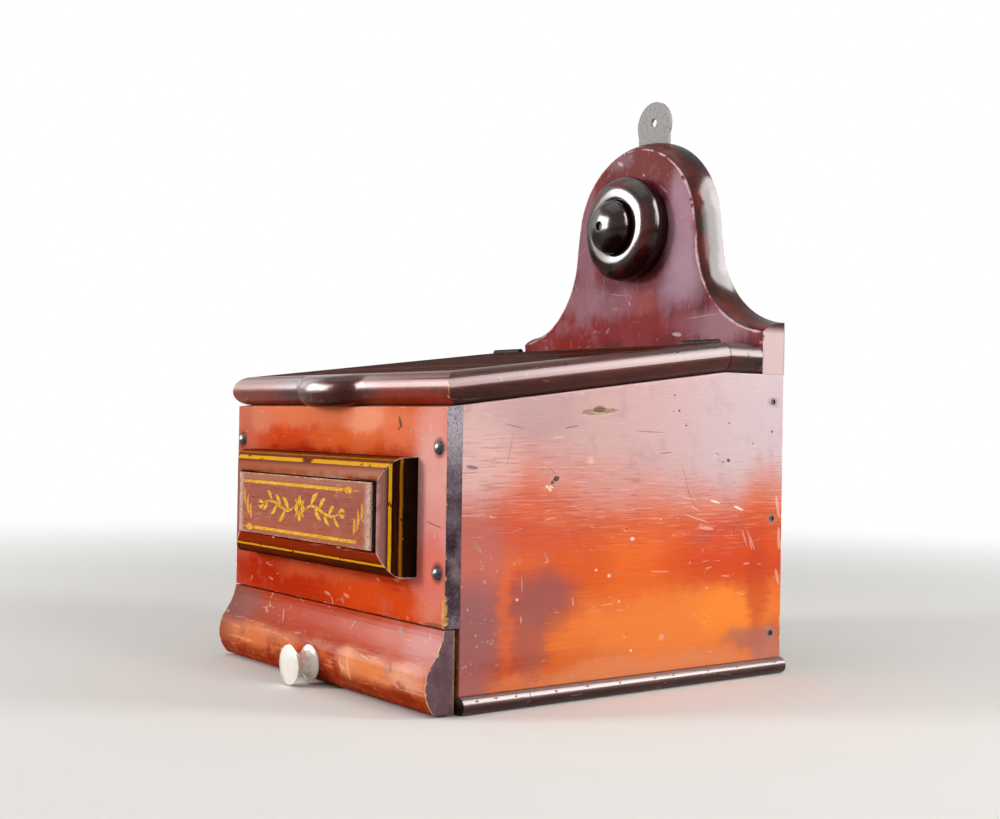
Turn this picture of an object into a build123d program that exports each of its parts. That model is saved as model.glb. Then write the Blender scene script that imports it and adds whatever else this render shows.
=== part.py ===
"""Wall-hanging salt box with a sloping hinged lid, a drawer below the salt compartment and a shaped crest.

Millimetres. +X is the box's left-to-right width, +Y runs back towards the wall and +Z is up. The origin
is the centre of the base's underside. Each sub-part is written to parts/NODE.step.
"""

from build123d import *
import math
import os

# ---- carcass -----------------------------------------------------------------------------------
box_width = 200.0            # over the two side boards
box_depth = 212.0            # face of the front panel to the wall
front_height = 134.0         # top arris of the front panel's face, above the table
side_height = 154.5          # level rear part of the side boards
side_thickness = 12.0
front_thickness = 8.0
back_thickness = 16.0
base_thickness = 8.0
base_bead = 4.0              # half-round edge of the base beyond each side board
front_base_depth = 37.0      # front board of the two-board base
board_joint = 0.3            # shrinkage line between the two base boards
drawer_space = 30.0          # clear height between the base and the salt floor
floor_thickness = 7.0        # board between the salt and the drawer
housing_depth = 3.0          # groove in each side board that holds the salt floor
housing_clearance = 0.1
arris_radius = 0.6           # softened corners of the visible boards

# ---- crest and its hanger ----------------------------------------------------------------------
crest_dome_radius = 48.0     # front arris of the round top
crest_dome_height = 236.0    # centre of the round top
crest_sweep_offset = 3.7     # centre of the hollow sweep outside the side board's face
crest_flank_gap = 1.7        # width between the circles of the round top and of the sweep
ear_height = 21.5            # front arris of the ear above the side board
crest_ovolo = 5.5            # how far the rounded edge stands out at the wall
ovolo_start = 35.0           # degrees, how far the rounded edge is turned where it leaves the front face
ovolo_sections = 6
hanger_thickness = 2.0
hanger_head_radius = 13.5
hanger_head_height = 300.0   # centre of the round head
hanger_neck_width = 24.6
hanger_foot_height = 260.0   # lower end of the plate
hanger_hole_radius = 2.5
hanger_hole_height = 301.5
hanger_screw_heights = (283.0, 268.0)
plate_clearance = 0.15

# ---- turned boss on the crest ------------------------------------------------------------------
boss_height = 238.3
boss_radius = 29.6
boss_foot_radius = 28.3
boss_edge_rise = 7.0         # widest part of the disc, from the board
boss_crown_radius = 19.0     # highest ring of the disc
boss_crown_rise = 16.0
boss_valley_rise = 13.5      # groove round the button
boss_button_radius = 15.0
boss_button_neck = 13.6
boss_button_rise = 17.4      # widest part of the button, from the board
boss_projection = 26.6
boss_spigot_radius = 7.0
boss_spigot_length = 6.0
boss_recess_depth = 2.2      # sunk screw head at the tip

# ---- level rail, lid and hinges ----------------------------------------------------------------
rail_depth = 26.5            # rail between the lid and the back board
rail_end_setback = 3.5       # rounded ends stop short of the crest's face
lid_thickness = 15.0
lid_side_overhang = 3.5
lid_front_overhang = 2.0
lid_edge_width = 8.0         # mitred half-round moulding round the lid
lid_nose_flat = 0.1          # level strip left along the middle of the front nose
lid_seat_gap = 0.2           # under the closed lid
lid_joint_gap = 0.5          # between the lid and the rail
lift_reach = 11.5            # thumb lift beyond the lid's front edge
lift_nose_radius = 38.0
lift_flank_radius = 14.0
hinge_length = 25.0
hinge_inset = 5.5            # outer end of each hinge from the side board's face
hinge_leaf_height = 12.0
hinge_leaf_thickness = 1.2
hinge_knuckle_radius = 1.8
hinge_knuckles = 5
hinge_pin_radius = 0.9
hinge_pin_clearance = 0.05   # radial
hinge_axial_gap = 0.15
hinge_swing_gap = 0.3        # wood around the knuckles

# ---- painted plaque on the front panel ---------------------------------------------------------
plaque_side_margin = 22.5    # front panel left bare at each end
plaque_height = 53.5
plaque_centre_height = 84.8
moulding_width = 11.0
moulding_edge = 7.5          # straight outer edge
moulding_rise = 14.7         # inner arris, from the front panel
ground_rise = 10.0           # block inside the mouldings
tablet_end_slot = 2.25       # dark slot between the tablet and each upright moulding
tablet_edge_gap = 0.55       # between the tablet and the level mouldings
tablet_rise = 16.6

# ---- drawer ------------------------------------------------------------------------------------
drawer_front_bottom = 1.3    # above the table
drawer_front_top = 37.3
drawer_front_gap = 2.6       # drawer front to the side boards' front edges when shut
drawer_rear_gap = 0.3        # drawer to the back board, its stop, when shut
drawer_side_gap = 0.6
drawer_side_height = 27.0
drawer_side_thickness = 7.0
drawer_back_thickness = 7.0
drawer_bottom_thickness = 4.0
drawer_bottom_lift = 3.0     # groove above the lower edge of the drawer sides
drawer_groove = 2.5
drawer_front_housing = 2.0
belly_radius = 16.5
belly_height = 13.3          # centre of the belly above the table
belly_reach = 9.5            # belly beyond the front panel's face
shoulder_angle = 38.0        # degrees, where the belly turns into the hollow

# ---- ceramic knob ------------------------------------------------------------------------------
knob_height = 10.2
knob_seat = 8.9              # flat seat on the belly, beyond the front panel's face
knob_flange_radius = 8.75
knob_flange_thickness = 3.4
knob_neck_radius = 5.2
knob_head_radius = 9.5
knob_head_setback = 11.2     # back of the head from the seat
knob_head_thickness = 2.9
knob_seat_clearance = 0.1    # radial, round the flange
knob_stud_radius = 2.0
knob_stud_in_knob = 10.0
knob_stud_in_wood = 10.5

# ---- fasteners ---------------------------------------------------------------------------------
fastener_clearance = 0.05    # round shanks and heads
pin_head_radius = 3.1        # domed pins in the front panel
pin_head_rise = 2.2
pin_shank_radius = 1.0
pin_length = 18.0
pin_low_height = 61.7
pin_high_height = 116.1
brad_head_radius = 1.3
brad_head_thickness = 1.0
brad_shank_radius = 0.8
brad_length = 24.0
brad_sink = 0.6
side_brad_heights = (21.0, 80.0, 140.3)
side_brad_setback = 7.8      # from the wall
base_nail_length = 22.0
base_nail_setbacks = (20.0, 70.0, 190.0)   # behind the front panel's face
base_nail_spread = 100.0     # between the two nails into the back board
drawer_brad_length = 16.0
drawer_brad_heights = (19.0, 29.0)
screw_head_radius = 2.6
screw_head_height = 1.7
screw_shank_radius = 1.4
hinge_screw_length = 12.0
hinge_screw_drop = 7.4       # below the hinge axis
hinge_screw_spread = 15.0
rail_screw_length = 32.0
rail_screw_spread = 60.0
hanger_screw_end_gap = 1.0   # wood between the plate's screws and the boss's spigot, seen from the side
slot_width = 0.6
slot_depth = 0.6

# ---- places worked out from the sizes above ------------------------------------------------------
half_width = box_width / 2
front_y = -box_depth / 2
wall_y = box_depth / 2
side_front_y = front_y + front_thickness
back_face_y = wall_y - back_thickness
rail_front_y = back_face_y - rail_depth
inner_half_width = half_width - side_thickness
slope = math.atan2(side_height - front_height, rail_front_y - front_y)
rail_thickness = (lid_thickness + lid_seat_gap) / math.cos(slope)
rail_top = side_height + rail_thickness
crest_sweep_radius = half_width + crest_sweep_offset - crest_flank_gap - crest_dome_radius
hanger_screw_length = back_thickness - boss_spigot_length - hanger_screw_end_gap
boss_screw_length = boss_projection - boss_recess_depth + boss_spigot_length
lid_half_width = half_width + lid_side_overhang
lid_rear_y = rail_front_y - lid_joint_gap
lid_nose_radius = lid_thickness / 2
lid_drop_forward = lid_nose_radius * math.sin(slope)
lid_length = (rail_front_y - front_y + lid_front_overhang + lid_drop_forward) / math.cos(slope)
hinge_y = rail_front_y - lid_joint_gap / 2
hinge_z = rail_top
salt_floor_bottom = base_thickness + drawer_space
salt_floor_top = salt_floor_bottom + floor_thickness
drawer_front_back_y = side_front_y - drawer_front_gap
drawer_rear_y = back_face_y - drawer_rear_gap
drawer_half_width = inner_half_width - drawer_side_gap
drawer_bottom_z = base_thickness + drawer_bottom_lift
plaque_length = box_width - 2 * plaque_side_margin
tablet_length = plaque_length - 2 * (moulding_width + tablet_end_slot)
tablet_height = plaque_height - 2 * (moulding_width + tablet_edge_gap)
pin_half_spread = half_width - side_thickness / 2
knob_seat_y = front_y - knob_seat
lid_frame = Plane(
    origin=(0, rail_front_y, rail_top),
    x_dir=(1, 0, 0),
    z_dir=(0, -math.sin(slope), math.cos(slope)),
)

LEFT, RIGHT = -1, 1
SIDES = {"left": LEFT, "right": RIGHT}
FORWARD, BACKWARD, UPWARD = (0, -1, 0), (0, 1, 0), (0, 0, 1)
STANDING = (Align.CENTER, Align.CENTER, Align.MIN)
QUARTER_TURN = 90.0


# ---- shapes used by several sub-parts ------------------------------------------------------------
def block(x_range, y_range, z_range):
    """Box between two places along each axis."""
    spans = [sorted(pair) for pair in (x_range, y_range, z_range)]
    middle = Vector(*(sum(span) / 2 for span in spans))
    return Pos(middle) * Box(*(high - low for low, high in spans))


def rod(start, direction, radius, length):
    """Round rod from a place, along a direction."""
    return Plane(origin=start, z_dir=direction).location * Cylinder(radius, length, align=STANDING)


def turned(profile, start, direction):
    """Solid of revolution of a face drawn as (radius, distance along the axis)."""
    return Plane(origin=start, z_dir=direction).location * revolve(Plane.XZ * profile, Axis.Z)


def cap_radius(edge, rise):
    """Radius of a round cap of a given edge radius and rise."""
    return (edge**2 + rise**2) / (2 * rise)


def slope_height(y):
    """Height of the side boards' sloping edge."""
    return side_height - max(rail_front_y - y, 0) * math.tan(slope)


def soften_face(solid, face):
    """Small radius on every edge of one face."""
    return fillet(face.edges(), arris_radius)


def joined(*solids):
    """Separate solids as one sub-part."""
    return Compound(children=[piece for solid in solids for piece in solid.solids()])


def screw(seat, direction, length, grow=0.0):
    """Countersunk screw, or its hole when grow is a clearance; seat is the middle of its flat head."""
    head = Plane(origin=seat, z_dir=direction).location * Cone(
        screw_head_radius + grow, screw_shank_radius + grow, screw_head_height, align=STANDING
    )
    body = head + rod(seat, direction, screw_shank_radius + grow, length + grow)
    if grow:
        return body
    slot = Box(3 * screw_head_radius, slot_width, 2 * slot_depth)
    return body - Plane(origin=seat, z_dir=direction).location * slot


def brad(seat, direction, length, grow=0.0):
    """Flat-headed brad, or its hole when grow is a clearance; seat is the middle of its head."""
    head = rod(seat, direction, brad_head_radius + grow, brad_head_thickness)
    return head + rod(seat, direction, brad_shank_radius + grow, length + grow)


# ---- places of the fasteners ---------------------------------------------------------------------
def pin_places():
    """Front faces of the four pins through the front panel into the side boards."""
    heights = (pin_low_height, pin_high_height)
    return [(sign * pin_half_spread, front_y, z) for sign in (LEFT, RIGHT) for z in heights]


def side_brad_places(sign):
    """Brads through one side board into the edge of the back board."""
    x = sign * (half_width - brad_sink)
    return [(x, wall_y - side_brad_setback, z) for z in side_brad_heights]


def base_nail_places():
    """Nails up through the base into the side boards and the back board."""
    x_side = half_width - side_thickness / 2
    into_sides = [(sign * x_side, front_y + back, 0) for sign in (LEFT, RIGHT) for back in base_nail_setbacks]
    into_back = [(sign * base_nail_spread / 2, wall_y - back_thickness / 2, 0) for sign in (LEFT, RIGHT)]
    return into_sides + into_back


def rail_screw_places():
    """Screws through the back board into the level rail."""
    z = side_height + rail_thickness / 2
    return [(x, wall_y, z) for x in (-rail_screw_spread, 0, rail_screw_spread)]


def hanger_screw_places():
    """Screws through the hanger plate into the crest."""
    return [(0, wall_y, z) for z in hanger_screw_heights]


def hinge_middle(sign):
    """Middle of one hinge along X."""
    return sign * (half_width - hinge_inset - hinge_length / 2)


def hinge_screw_places(sign, y):
    """Two screws of one hinge leaf whose face stands at y."""
    offsets = (-hinge_screw_spread / 2, hinge_screw_spread / 2)
    return [(hinge_middle(sign) + dx, y, hinge_z - hinge_screw_drop) for dx in offsets]


def drawer_brad_places(sign):
    """Brads through one drawer side into the drawer back."""
    x = sign * drawer_half_width
    return [(x, drawer_rear_y - drawer_back_thickness / 2, z) for z in drawer_brad_heights]


# ---- carcass -------------------------------------------------------------------------------------
def base_section():
    """Cross-section of the base with its half-round edges, in the XZ plane."""
    return Plane.XZ * Pos(0, base_thickness / 2) * SlotOverall(box_width + 2 * base_bead, base_thickness)


def base_board(y_front, y_rear):
    """One board of the base."""
    board = Pos(0, y_rear, 0) * extrude(base_section(), y_rear - y_front)
    for place in base_nail_places():
        if y_front < place[1] < y_rear:
            board -= brad(place, UPWARD, base_nail_length, fastener_clearance)
    return board


def base_boards():
    """Front and rear boards of the base."""
    joint = side_front_y + front_base_depth
    return {
        "base_board_front": base_board(side_front_y, joint - board_joint),
        "base_board_rear": base_board(joint, wall_y),
    }


def side_board(sign):
    """Side board: a sloping top, a level seat for the rail and the ear, and the housing for the floor."""
    outline = Polyline(
        (side_front_y, base_thickness),
        (wall_y, base_thickness),
        (wall_y, side_height),
        (rail_front_y, side_height),
        (side_front_y, slope_height(side_front_y)),
        close=True,
    )
    board = Pos(sign * inner_half_width, 0, 0) * extrude(Plane.YZ * make_face(outline), sign * side_thickness)
    outer_face = board.faces().sort_by(Axis.X)[-1 if sign == RIGHT else 0]
    board = soften_face(board, outer_face)
    board -= block(
        (sign * inner_half_width, sign * (inner_half_width + housing_depth)),
        (side_front_y, wall_y),
        (salt_floor_bottom - housing_clearance, salt_floor_top + housing_clearance),
    )
    for place in pin_places():
        board -= rod(place, BACKWARD, pin_shank_radius + fastener_clearance, pin_length + fastener_clearance)
    for x, y, z in side_brad_places(sign):
        board -= brad((x, y, z), (-sign, 0, 0), brad_length, fastener_clearance)
        board -= rod((x, y, z), (sign, 0, 0), brad_head_radius + fastener_clearance, 2 * brad_sink)
    for place in base_nail_places():
        board -= brad(place, UPWARD, base_nail_length, fastener_clearance)
    return board


def front_panel():
    """Upper front board, bevelled along the top to the lid's slope and nailed over the side boards."""
    outline = Polyline(
        (front_y, salt_floor_bottom),
        (side_front_y, salt_floor_bottom),
        (side_front_y, slope_height(side_front_y)),
        (front_y, slope_height(front_y)),
        close=True,
    )
    panel = Pos(-half_width, 0, 0) * extrude(Plane.YZ * make_face(outline), box_width)
    panel = soften_face(panel, panel.faces().sort_by(Axis.Y)[0])
    for place in pin_places():
        panel -= rod(place, BACKWARD, pin_shank_radius + fastener_clearance, front_thickness)
    return panel


def salt_floor():
    """Board housed in the side boards, between the salt and the drawer."""
    reach = inner_half_width + housing_depth - housing_clearance
    return block((-reach, reach), (side_front_y, back_face_y), (salt_floor_bottom, salt_floor_top))


# ---- back board, crest and hanger -----------------------------------------------------------------
def crest_section(y, grow):
    """Crest's outline above the side boards, at one depth, with its shaped edge moved out by grow."""
    dome = Vector(0, crest_dome_height)
    sweep = Vector(half_width + crest_sweep_offset, side_height + ear_height + crest_sweep_radius)
    span = sweep - dome
    lean = math.atan2(span.Y, span.X) + math.acos((crest_dome_radius + crest_sweep_radius) / span.length)
    normal = Vector(math.cos(lean), math.sin(lean))
    dome_radius = crest_dome_radius + grow
    sweep_radius = crest_sweep_radius - grow
    dome_end = dome + normal * dome_radius
    sweep_end = sweep - normal * sweep_radius
    ear_top = sweep.Y - math.sqrt(sweep_radius**2 - crest_sweep_offset**2)
    ear = Vector(half_width, ear_top)
    middle = (lean + math.asin(crest_sweep_offset / sweep_radius) + math.pi / 2) / 2
    sweep_middle = sweep - Vector(math.cos(middle), math.sin(middle)) * sweep_radius
    right = [
        Line((half_width, side_height), ear),
        ThreePointArc(ear, sweep_middle, sweep_end),
        Line(sweep_end, dome_end),
    ]
    top = ThreePointArc(dome_end, dome + Vector(0, dome_radius), Vector(-dome_end.X, dome_end.Y))
    left = [mirror(edge, Plane.YZ) for edge in reversed(right)]
    foot = Line((-half_width, side_height), (half_width, side_height))
    face = make_face(right + [top] + left + [foot])
    return Plane(origin=(0, y, 0), x_dir=(1, 0, 0), z_dir=FORWARD) * face


def crest():
    """Crest with an edge that rounds from its front arris out to the wall."""
    start, end = math.radians(ovolo_start), math.radians(QUARTER_TURN)
    turns = [start + (end - start) * index / (ovolo_sections - 1) for index in range(ovolo_sections)]
    sections = []
    for turn in turns:
        back = back_thickness * (1 - math.cos(turn) / math.cos(start))
        out = crest_ovolo * (math.sin(turn) - math.sin(start)) / (1 - math.sin(start))
        sections.append(crest_section(back_face_y + back, out))
    return loft(sections)


def hanger_outline(grow=0.0):
    """Plate with a round head and a straight neck, in the XZ plane."""
    head = Pos(0, hanger_head_height) * Circle(hanger_head_radius + grow)
    neck_length = hanger_head_height - hanger_foot_height + grow
    neck = Pos(0, hanger_head_height - neck_length / 2) * Rectangle(hanger_neck_width + 2 * grow, neck_length)
    return Plane.XZ * (head + neck)


def hanger_plate():
    """Steel hanging plate let into the rear of the crest."""
    plate = Pos(0, wall_y, 0) * extrude(hanger_outline(), hanger_thickness)
    plate -= rod((0, wall_y, hanger_hole_height), FORWARD, hanger_hole_radius, hanger_thickness)
    for place in hanger_screw_places():
        plate -= screw(place, FORWARD, hanger_screw_length, fastener_clearance)
    return plate


def back_board():
    """Board between the sides that widens into the ears and the shaped crest."""
    lower = block(
        (-inner_half_width, inner_half_width), (back_face_y, wall_y), (base_thickness, side_height)
    )
    board = lower + crest()
    board -= Pos(0, wall_y, 0) * extrude(hanger_outline(plate_clearance), hanger_thickness)
    spigot_hole = boss_spigot_length + fastener_clearance
    spigot_room = boss_spigot_radius + fastener_clearance
    board -= rod((0, back_face_y, boss_height), BACKWARD, spigot_room, spigot_hole)
    board -= boss_fixing(fastener_clearance)
    for place in hanger_screw_places():
        board -= screw(place, FORWARD, hanger_screw_length, fastener_clearance)
    for place in rail_screw_places():
        board -= screw(place, FORWARD, rail_screw_length, fastener_clearance)
    for sign in (LEFT, RIGHT):
        for place in side_brad_places(sign):
            board -= brad(place, (-sign, 0, 0), brad_length, fastener_clearance)
    for place in base_nail_places():
        board -= brad(place, UPWARD, base_nail_length, fastener_clearance)
    return board


def boss_fixing(grow=0.0):
    """Round-shanked screw along the boss's axis, or its hole."""
    tip_y = back_face_y - boss_projection + boss_recess_depth
    return screw((0, tip_y, boss_height), BACKWARD, boss_screw_length, grow)


def crest_boss():
    """Turned disc and button, seated in the crest by a spigot."""
    button_rise = boss_projection - boss_button_rise
    undercut = boss_radius - boss_foot_radius
    undercut_radius = (undercut**2 + boss_edge_rise**2) / (2 * undercut)
    recess = screw_head_radius + fastener_clearance
    tip_drop = button_rise * (1 - math.sqrt(1 - (recess / boss_button_radius) ** 2))
    tip = boss_projection - tip_drop
    tip_turn = math.degrees(math.acos(recess / boss_button_radius))
    profile = make_face(
        [
            Line((0, -boss_spigot_length), (boss_spigot_radius, -boss_spigot_length)),
            Line((boss_spigot_radius, -boss_spigot_length), (boss_spigot_radius, 0)),
            Line((boss_spigot_radius, 0), (boss_foot_radius, 0)),
            RadiusArc((boss_foot_radius, 0), (boss_radius, boss_edge_rise), -undercut_radius),
            EllipticalCenterArc(
                (boss_crown_radius, boss_edge_rise),
                boss_radius - boss_crown_radius,
                boss_crown_rise - boss_edge_rise,
                arc_size=QUARTER_TURN,
            ),
            EllipticalCenterArc(
                (boss_crown_radius, boss_valley_rise),
                boss_crown_radius - boss_button_neck,
                boss_crown_rise - boss_valley_rise,
                start_angle=QUARTER_TURN,
                arc_size=QUARTER_TURN,
            ),
            Line((boss_button_neck, boss_valley_rise), (boss_button_radius, boss_button_rise)),
            EllipticalCenterArc((0, boss_button_rise), boss_button_radius, button_rise, arc_size=tip_turn),
            Line((recess, tip), (0, tip)),
            Line((0, tip), (0, -boss_spigot_length)),
        ]
    )
    boss = turned(profile, (0, back_face_y, boss_height), FORWARD)
    tip_y = back_face_y - boss_projection
    boss -= rod((0, tip_y, boss_height), BACKWARD, recess, boss_recess_depth)
    return boss - boss_fixing(fastener_clearance)


# ---- rail and lid ----------------------------------------------------------------------------------
def knuckle_room(sign):
    """Round groove in the wood about one hinge's knuckles."""
    start = (hinge_middle(sign) - hinge_length / 2 - hinge_axial_gap, hinge_y, hinge_z)
    return rod(start, (1, 0, 0), hinge_knuckle_radius + hinge_swing_gap, hinge_length + 2 * hinge_axial_gap)


def leaf_room(sign, y_face, toward):
    """Mortise for one hinge leaf in the face that stands at y_face."""
    reach = hinge_length / 2 + hinge_axial_gap
    middle = hinge_middle(sign)
    return block(
        (middle - reach, middle + reach),
        (y_face, y_face + toward * hinge_leaf_thickness),
        (hinge_z - hinge_leaf_height - hinge_axial_gap, hinge_z + hinge_axial_gap),
    )


def half_round_section(width, thickness):
    """Moulding section with its nose at x = 0 and its top at y = 0."""
    radius = thickness / 2
    return make_face(
        [
            ThreePointArc((-radius, 0), (0, -radius), (-radius, -thickness)),
            Line((-radius, -thickness), (-width, -thickness)),
            Line((-width, -thickness), (-width, 0)),
            Line((-width, 0), (-radius, 0)),
        ]
    )


def hinge_rail():
    """Level rail with rounded ends that carries the hinges."""
    half_section = Pos(lid_half_width, rail_top) * half_round_section(lid_half_width, rail_thickness)
    rail = Pos(0, back_face_y, 0) * extrude(Plane.XZ * half_section, rail_depth)
    rail += mirror(rail, Plane.YZ)
    for sign in (LEFT, RIGHT):
        rail -= block(
            (sign * half_width, sign * lid_half_width),
            (back_face_y - rail_end_setback, back_face_y),
            (side_height, rail_top),
        )
        rail -= knuckle_room(sign)
        rail -= leaf_room(sign, rail_front_y, 1)
        for place in hinge_screw_places(sign, rail_front_y):
            rail -= screw(place, BACKWARD, hinge_screw_length, fastener_clearance)
    for place in rail_screw_places():
        rail -= screw(place, FORWARD, rail_screw_length, fastener_clearance)
    return rail


def cut_lid_joint(piece):
    """Place a lid piece on its slope and cut its rear upright, just clear of the rail."""
    placed = lid_frame.location * piece
    beyond = block(
        (-box_width, box_width), (lid_rear_y, wall_y), (front_height - lid_thickness, 2 * side_height)
    )
    placed -= beyond
    for sign in (LEFT, RIGHT):
        placed -= knuckle_room(sign)
        placed -= leaf_room(sign, lid_rear_y, -1)
        for place in hinge_screw_places(sign, lid_rear_y):
            placed -= screw(place, FORWARD, hinge_screw_length, fastener_clearance)
    return placed


def lid_board():
    """Middle board of the lid."""
    reach = lid_half_width - lid_edge_width
    return cut_lid_joint(
        block((-reach, reach), (-lid_length + lid_edge_width, lid_thickness), (-lid_thickness, 0))
    )


def lid_side_edge(sign):
    """Half-round moulding along one side of the lid, mitred at the front."""
    section = half_round_section(lid_edge_width, lid_thickness)
    strip = extrude(Plane.XZ * section, lid_length + lid_thickness)
    strip = Pos(lid_half_width, lid_thickness, 0) * strip
    inner = lid_half_width - lid_edge_width
    corner = Polyline(
        (inner, lid_edge_width - lid_length),
        (lid_half_width, -lid_length),
        (inner, -lid_length),
        close=True,
    )
    strip -= Pos(0, 0, -lid_thickness) * extrude(make_face(corner), lid_thickness)
    if sign == LEFT:
        strip = mirror(strip, Plane.YZ)
    return cut_lid_joint(strip)


def lift_outline():
    """Front line of the lid from its left corner to its right, bulging into the thumb lift."""
    radii = lift_nose_radius + lift_flank_radius
    turn = math.acos(1 - lift_reach / radii)
    half_length = radii * math.sin(turn)
    join = Vector(lift_nose_radius * math.sin(turn), lift_reach - lift_nose_radius * (1 - math.cos(turn)))
    flank = Vector(
        half_length - lift_flank_radius * math.sin(turn / 2), lift_flank_radius * (1 - math.cos(turn / 2))
    )

    def place(x, out):
        return (x, -lid_length - out)

    return [
        Line(place(-lid_half_width, 0), place(-half_length, 0)),
        ThreePointArc(place(-half_length, 0), place(-flank.X, flank.Y), place(-join.X, join.Y)),
        ThreePointArc(place(-join.X, join.Y), place(0, lift_reach), place(join.X, join.Y)),
        ThreePointArc(place(join.X, join.Y), place(flank.X, flank.Y), place(half_length, 0)),
        Line(place(half_length, 0), place(lid_half_width, 0)),
    ]


def lid_front_edge():
    """Half-round moulding along the front of the lid, mitred at both ends, with the thumb lift."""
    inner = lid_half_width - lid_edge_width
    inner_y = lid_edge_width - lid_length
    rest = [
        Line((lid_half_width, -lid_length), (inner, inner_y)),
        Line((inner, inner_y), (-inner, inner_y)),
        Line((-inner, inner_y), (-lid_half_width, -lid_length)),
    ]
    strip = Pos(0, 0, -lid_thickness) * extrude(make_face(lift_outline() + rest), lid_thickness)
    nose = [edge for edge in strip.edges() if edge.bounding_box().max.Y < inner_y - lid_edge_width / 2]
    level = [edge for edge in nose if edge.bounding_box().size.Z < lid_edge_width / 2]
    return cut_lid_joint(fillet(level, lid_nose_radius - lid_nose_flat / 2))


# ---- hinges ----------------------------------------------------------------------------------------
def hinge_leaf(sign, toward, y_face, own_first):
    """Leaf of one butt hinge; own_first says whether it has the outermost knuckles."""
    middle = hinge_middle(sign)
    pitch = hinge_length / hinge_knuckles
    start = middle - hinge_length / 2
    leaf = block(
        (start, start + hinge_length),
        (y_face, y_face + toward * hinge_leaf_thickness),
        (hinge_z - hinge_leaf_height, hinge_z),
    )
    for index in range(hinge_knuckles):
        own = (index % 2 == 0) == own_first
        knuckle_start = (start + index * pitch, hinge_y, hinge_z)
        if own:
            leaf += rod(knuckle_start, (1, 0, 0), hinge_knuckle_radius, pitch)
    for index in range(hinge_knuckles):
        own = (index % 2 == 0) == own_first
        if not own:
            gap_start = (start + index * pitch - hinge_axial_gap, hinge_y, hinge_z)
            room = hinge_knuckle_radius + hinge_axial_gap
            leaf -= rod(gap_start, (1, 0, 0), room, pitch + 2 * hinge_axial_gap)
    leaf -= rod((start, hinge_y, hinge_z), (1, 0, 0), hinge_pin_radius + hinge_pin_clearance, hinge_length)
    for place in hinge_screw_places(sign, y_face):
        leaf -= screw(place, (0, toward, 0), hinge_screw_length, fastener_clearance)
    return leaf


def hinge_pin(sign):
    """Pin through the knuckles of one hinge."""
    start = (hinge_middle(sign) - hinge_length / 2, hinge_y, hinge_z)
    return rod(start, (1, 0, 0), hinge_pin_radius, hinge_length)


def hinges():
    """Both butt hinges with their pins and screws."""
    nodes = {}
    for side, sign in SIDES.items():
        nodes[f"hinge_rail_leaf_{side}"] = hinge_leaf(sign, 1, rail_front_y, True)
        nodes[f"hinge_lid_leaf_{side}"] = hinge_leaf(sign, -1, lid_rear_y, False)
        nodes[f"hinge_pin_{side}"] = hinge_pin(sign)
    rail_places = [place for sign in (LEFT, RIGHT) for place in hinge_screw_places(sign, rail_front_y)]
    lid_places = [place for sign in (LEFT, RIGHT) for place in hinge_screw_places(sign, lid_rear_y)]
    nodes["hinge_rail_screws"] = joined(*(screw(p, BACKWARD, hinge_screw_length) for p in rail_places))
    nodes["hinge_lid_screws"] = joined(*(screw(p, FORWARD, hinge_screw_length) for p in lid_places))
    return nodes


# ---- plaque ----------------------------------------------------------------------------------------
def plaque_moulding(length):
    """Mitred moulding lying along X, its outer edge on y = 0 and its back on z = 0."""
    curve = moulding_rise - moulding_edge
    section = make_face(
        [
            Line((0, 0), (0, moulding_edge)),
            EllipticalCenterArc(
                (moulding_width, moulding_edge), moulding_width, curve, QUARTER_TURN, arc_size=QUARTER_TURN
            ),
            Line((moulding_width, moulding_rise), (moulding_width, 0)),
            Line((moulding_width, 0), (0, 0)),
        ]
    )
    strip = Pos(-length / 2, 0, 0) * extrude(Plane.YZ * section, length)
    mitred = Polyline(
        (-length / 2, 0),
        (length / 2, 0),
        (length / 2 - moulding_width, moulding_width),
        (moulding_width - length / 2, moulding_width),
        close=True,
    )
    return strip & extrude(make_face(mitred), moulding_rise)


def plaque():
    """Raised plaque: four mitred mouldings round a block that carries the tablet."""
    half_length, half_height = plaque_length / 2, plaque_height / 2
    low, high = plaque_centre_height - half_height, plaque_centre_height + half_height
    runs = {
        "plaque_rail_bottom": ((0, front_y, low), (1, 0, 0), plaque_length),
        "plaque_rail_top": ((0, front_y, high), (-1, 0, 0), plaque_length),
        "plaque_stile_left": ((-half_length, front_y, plaque_centre_height), (0, 0, -1), plaque_height),
        "plaque_stile_right": ((half_length, front_y, plaque_centre_height), (0, 0, 1), plaque_height),
    }
    nodes = {
        node: Plane(origin=start, x_dir=along, z_dir=FORWARD).location * plaque_moulding(length)
        for node, (start, along, length) in runs.items()
    }
    inner_length, inner_height = half_length - moulding_width, half_height - moulding_width
    nodes["plaque_ground"] = block(
        (-inner_length, inner_length),
        (front_y, front_y - ground_rise),
        (plaque_centre_height - inner_height, plaque_centre_height + inner_height),
    )
    tablet = block(
        (-tablet_length / 2, tablet_length / 2),
        (front_y - ground_rise, front_y - tablet_rise),
        (plaque_centre_height - tablet_height / 2, plaque_centre_height + tablet_height / 2),
    )
    nodes["plaque_tablet"] = soften_face(tablet, tablet.faces().sort_by(Axis.Y)[0])
    return nodes


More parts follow.
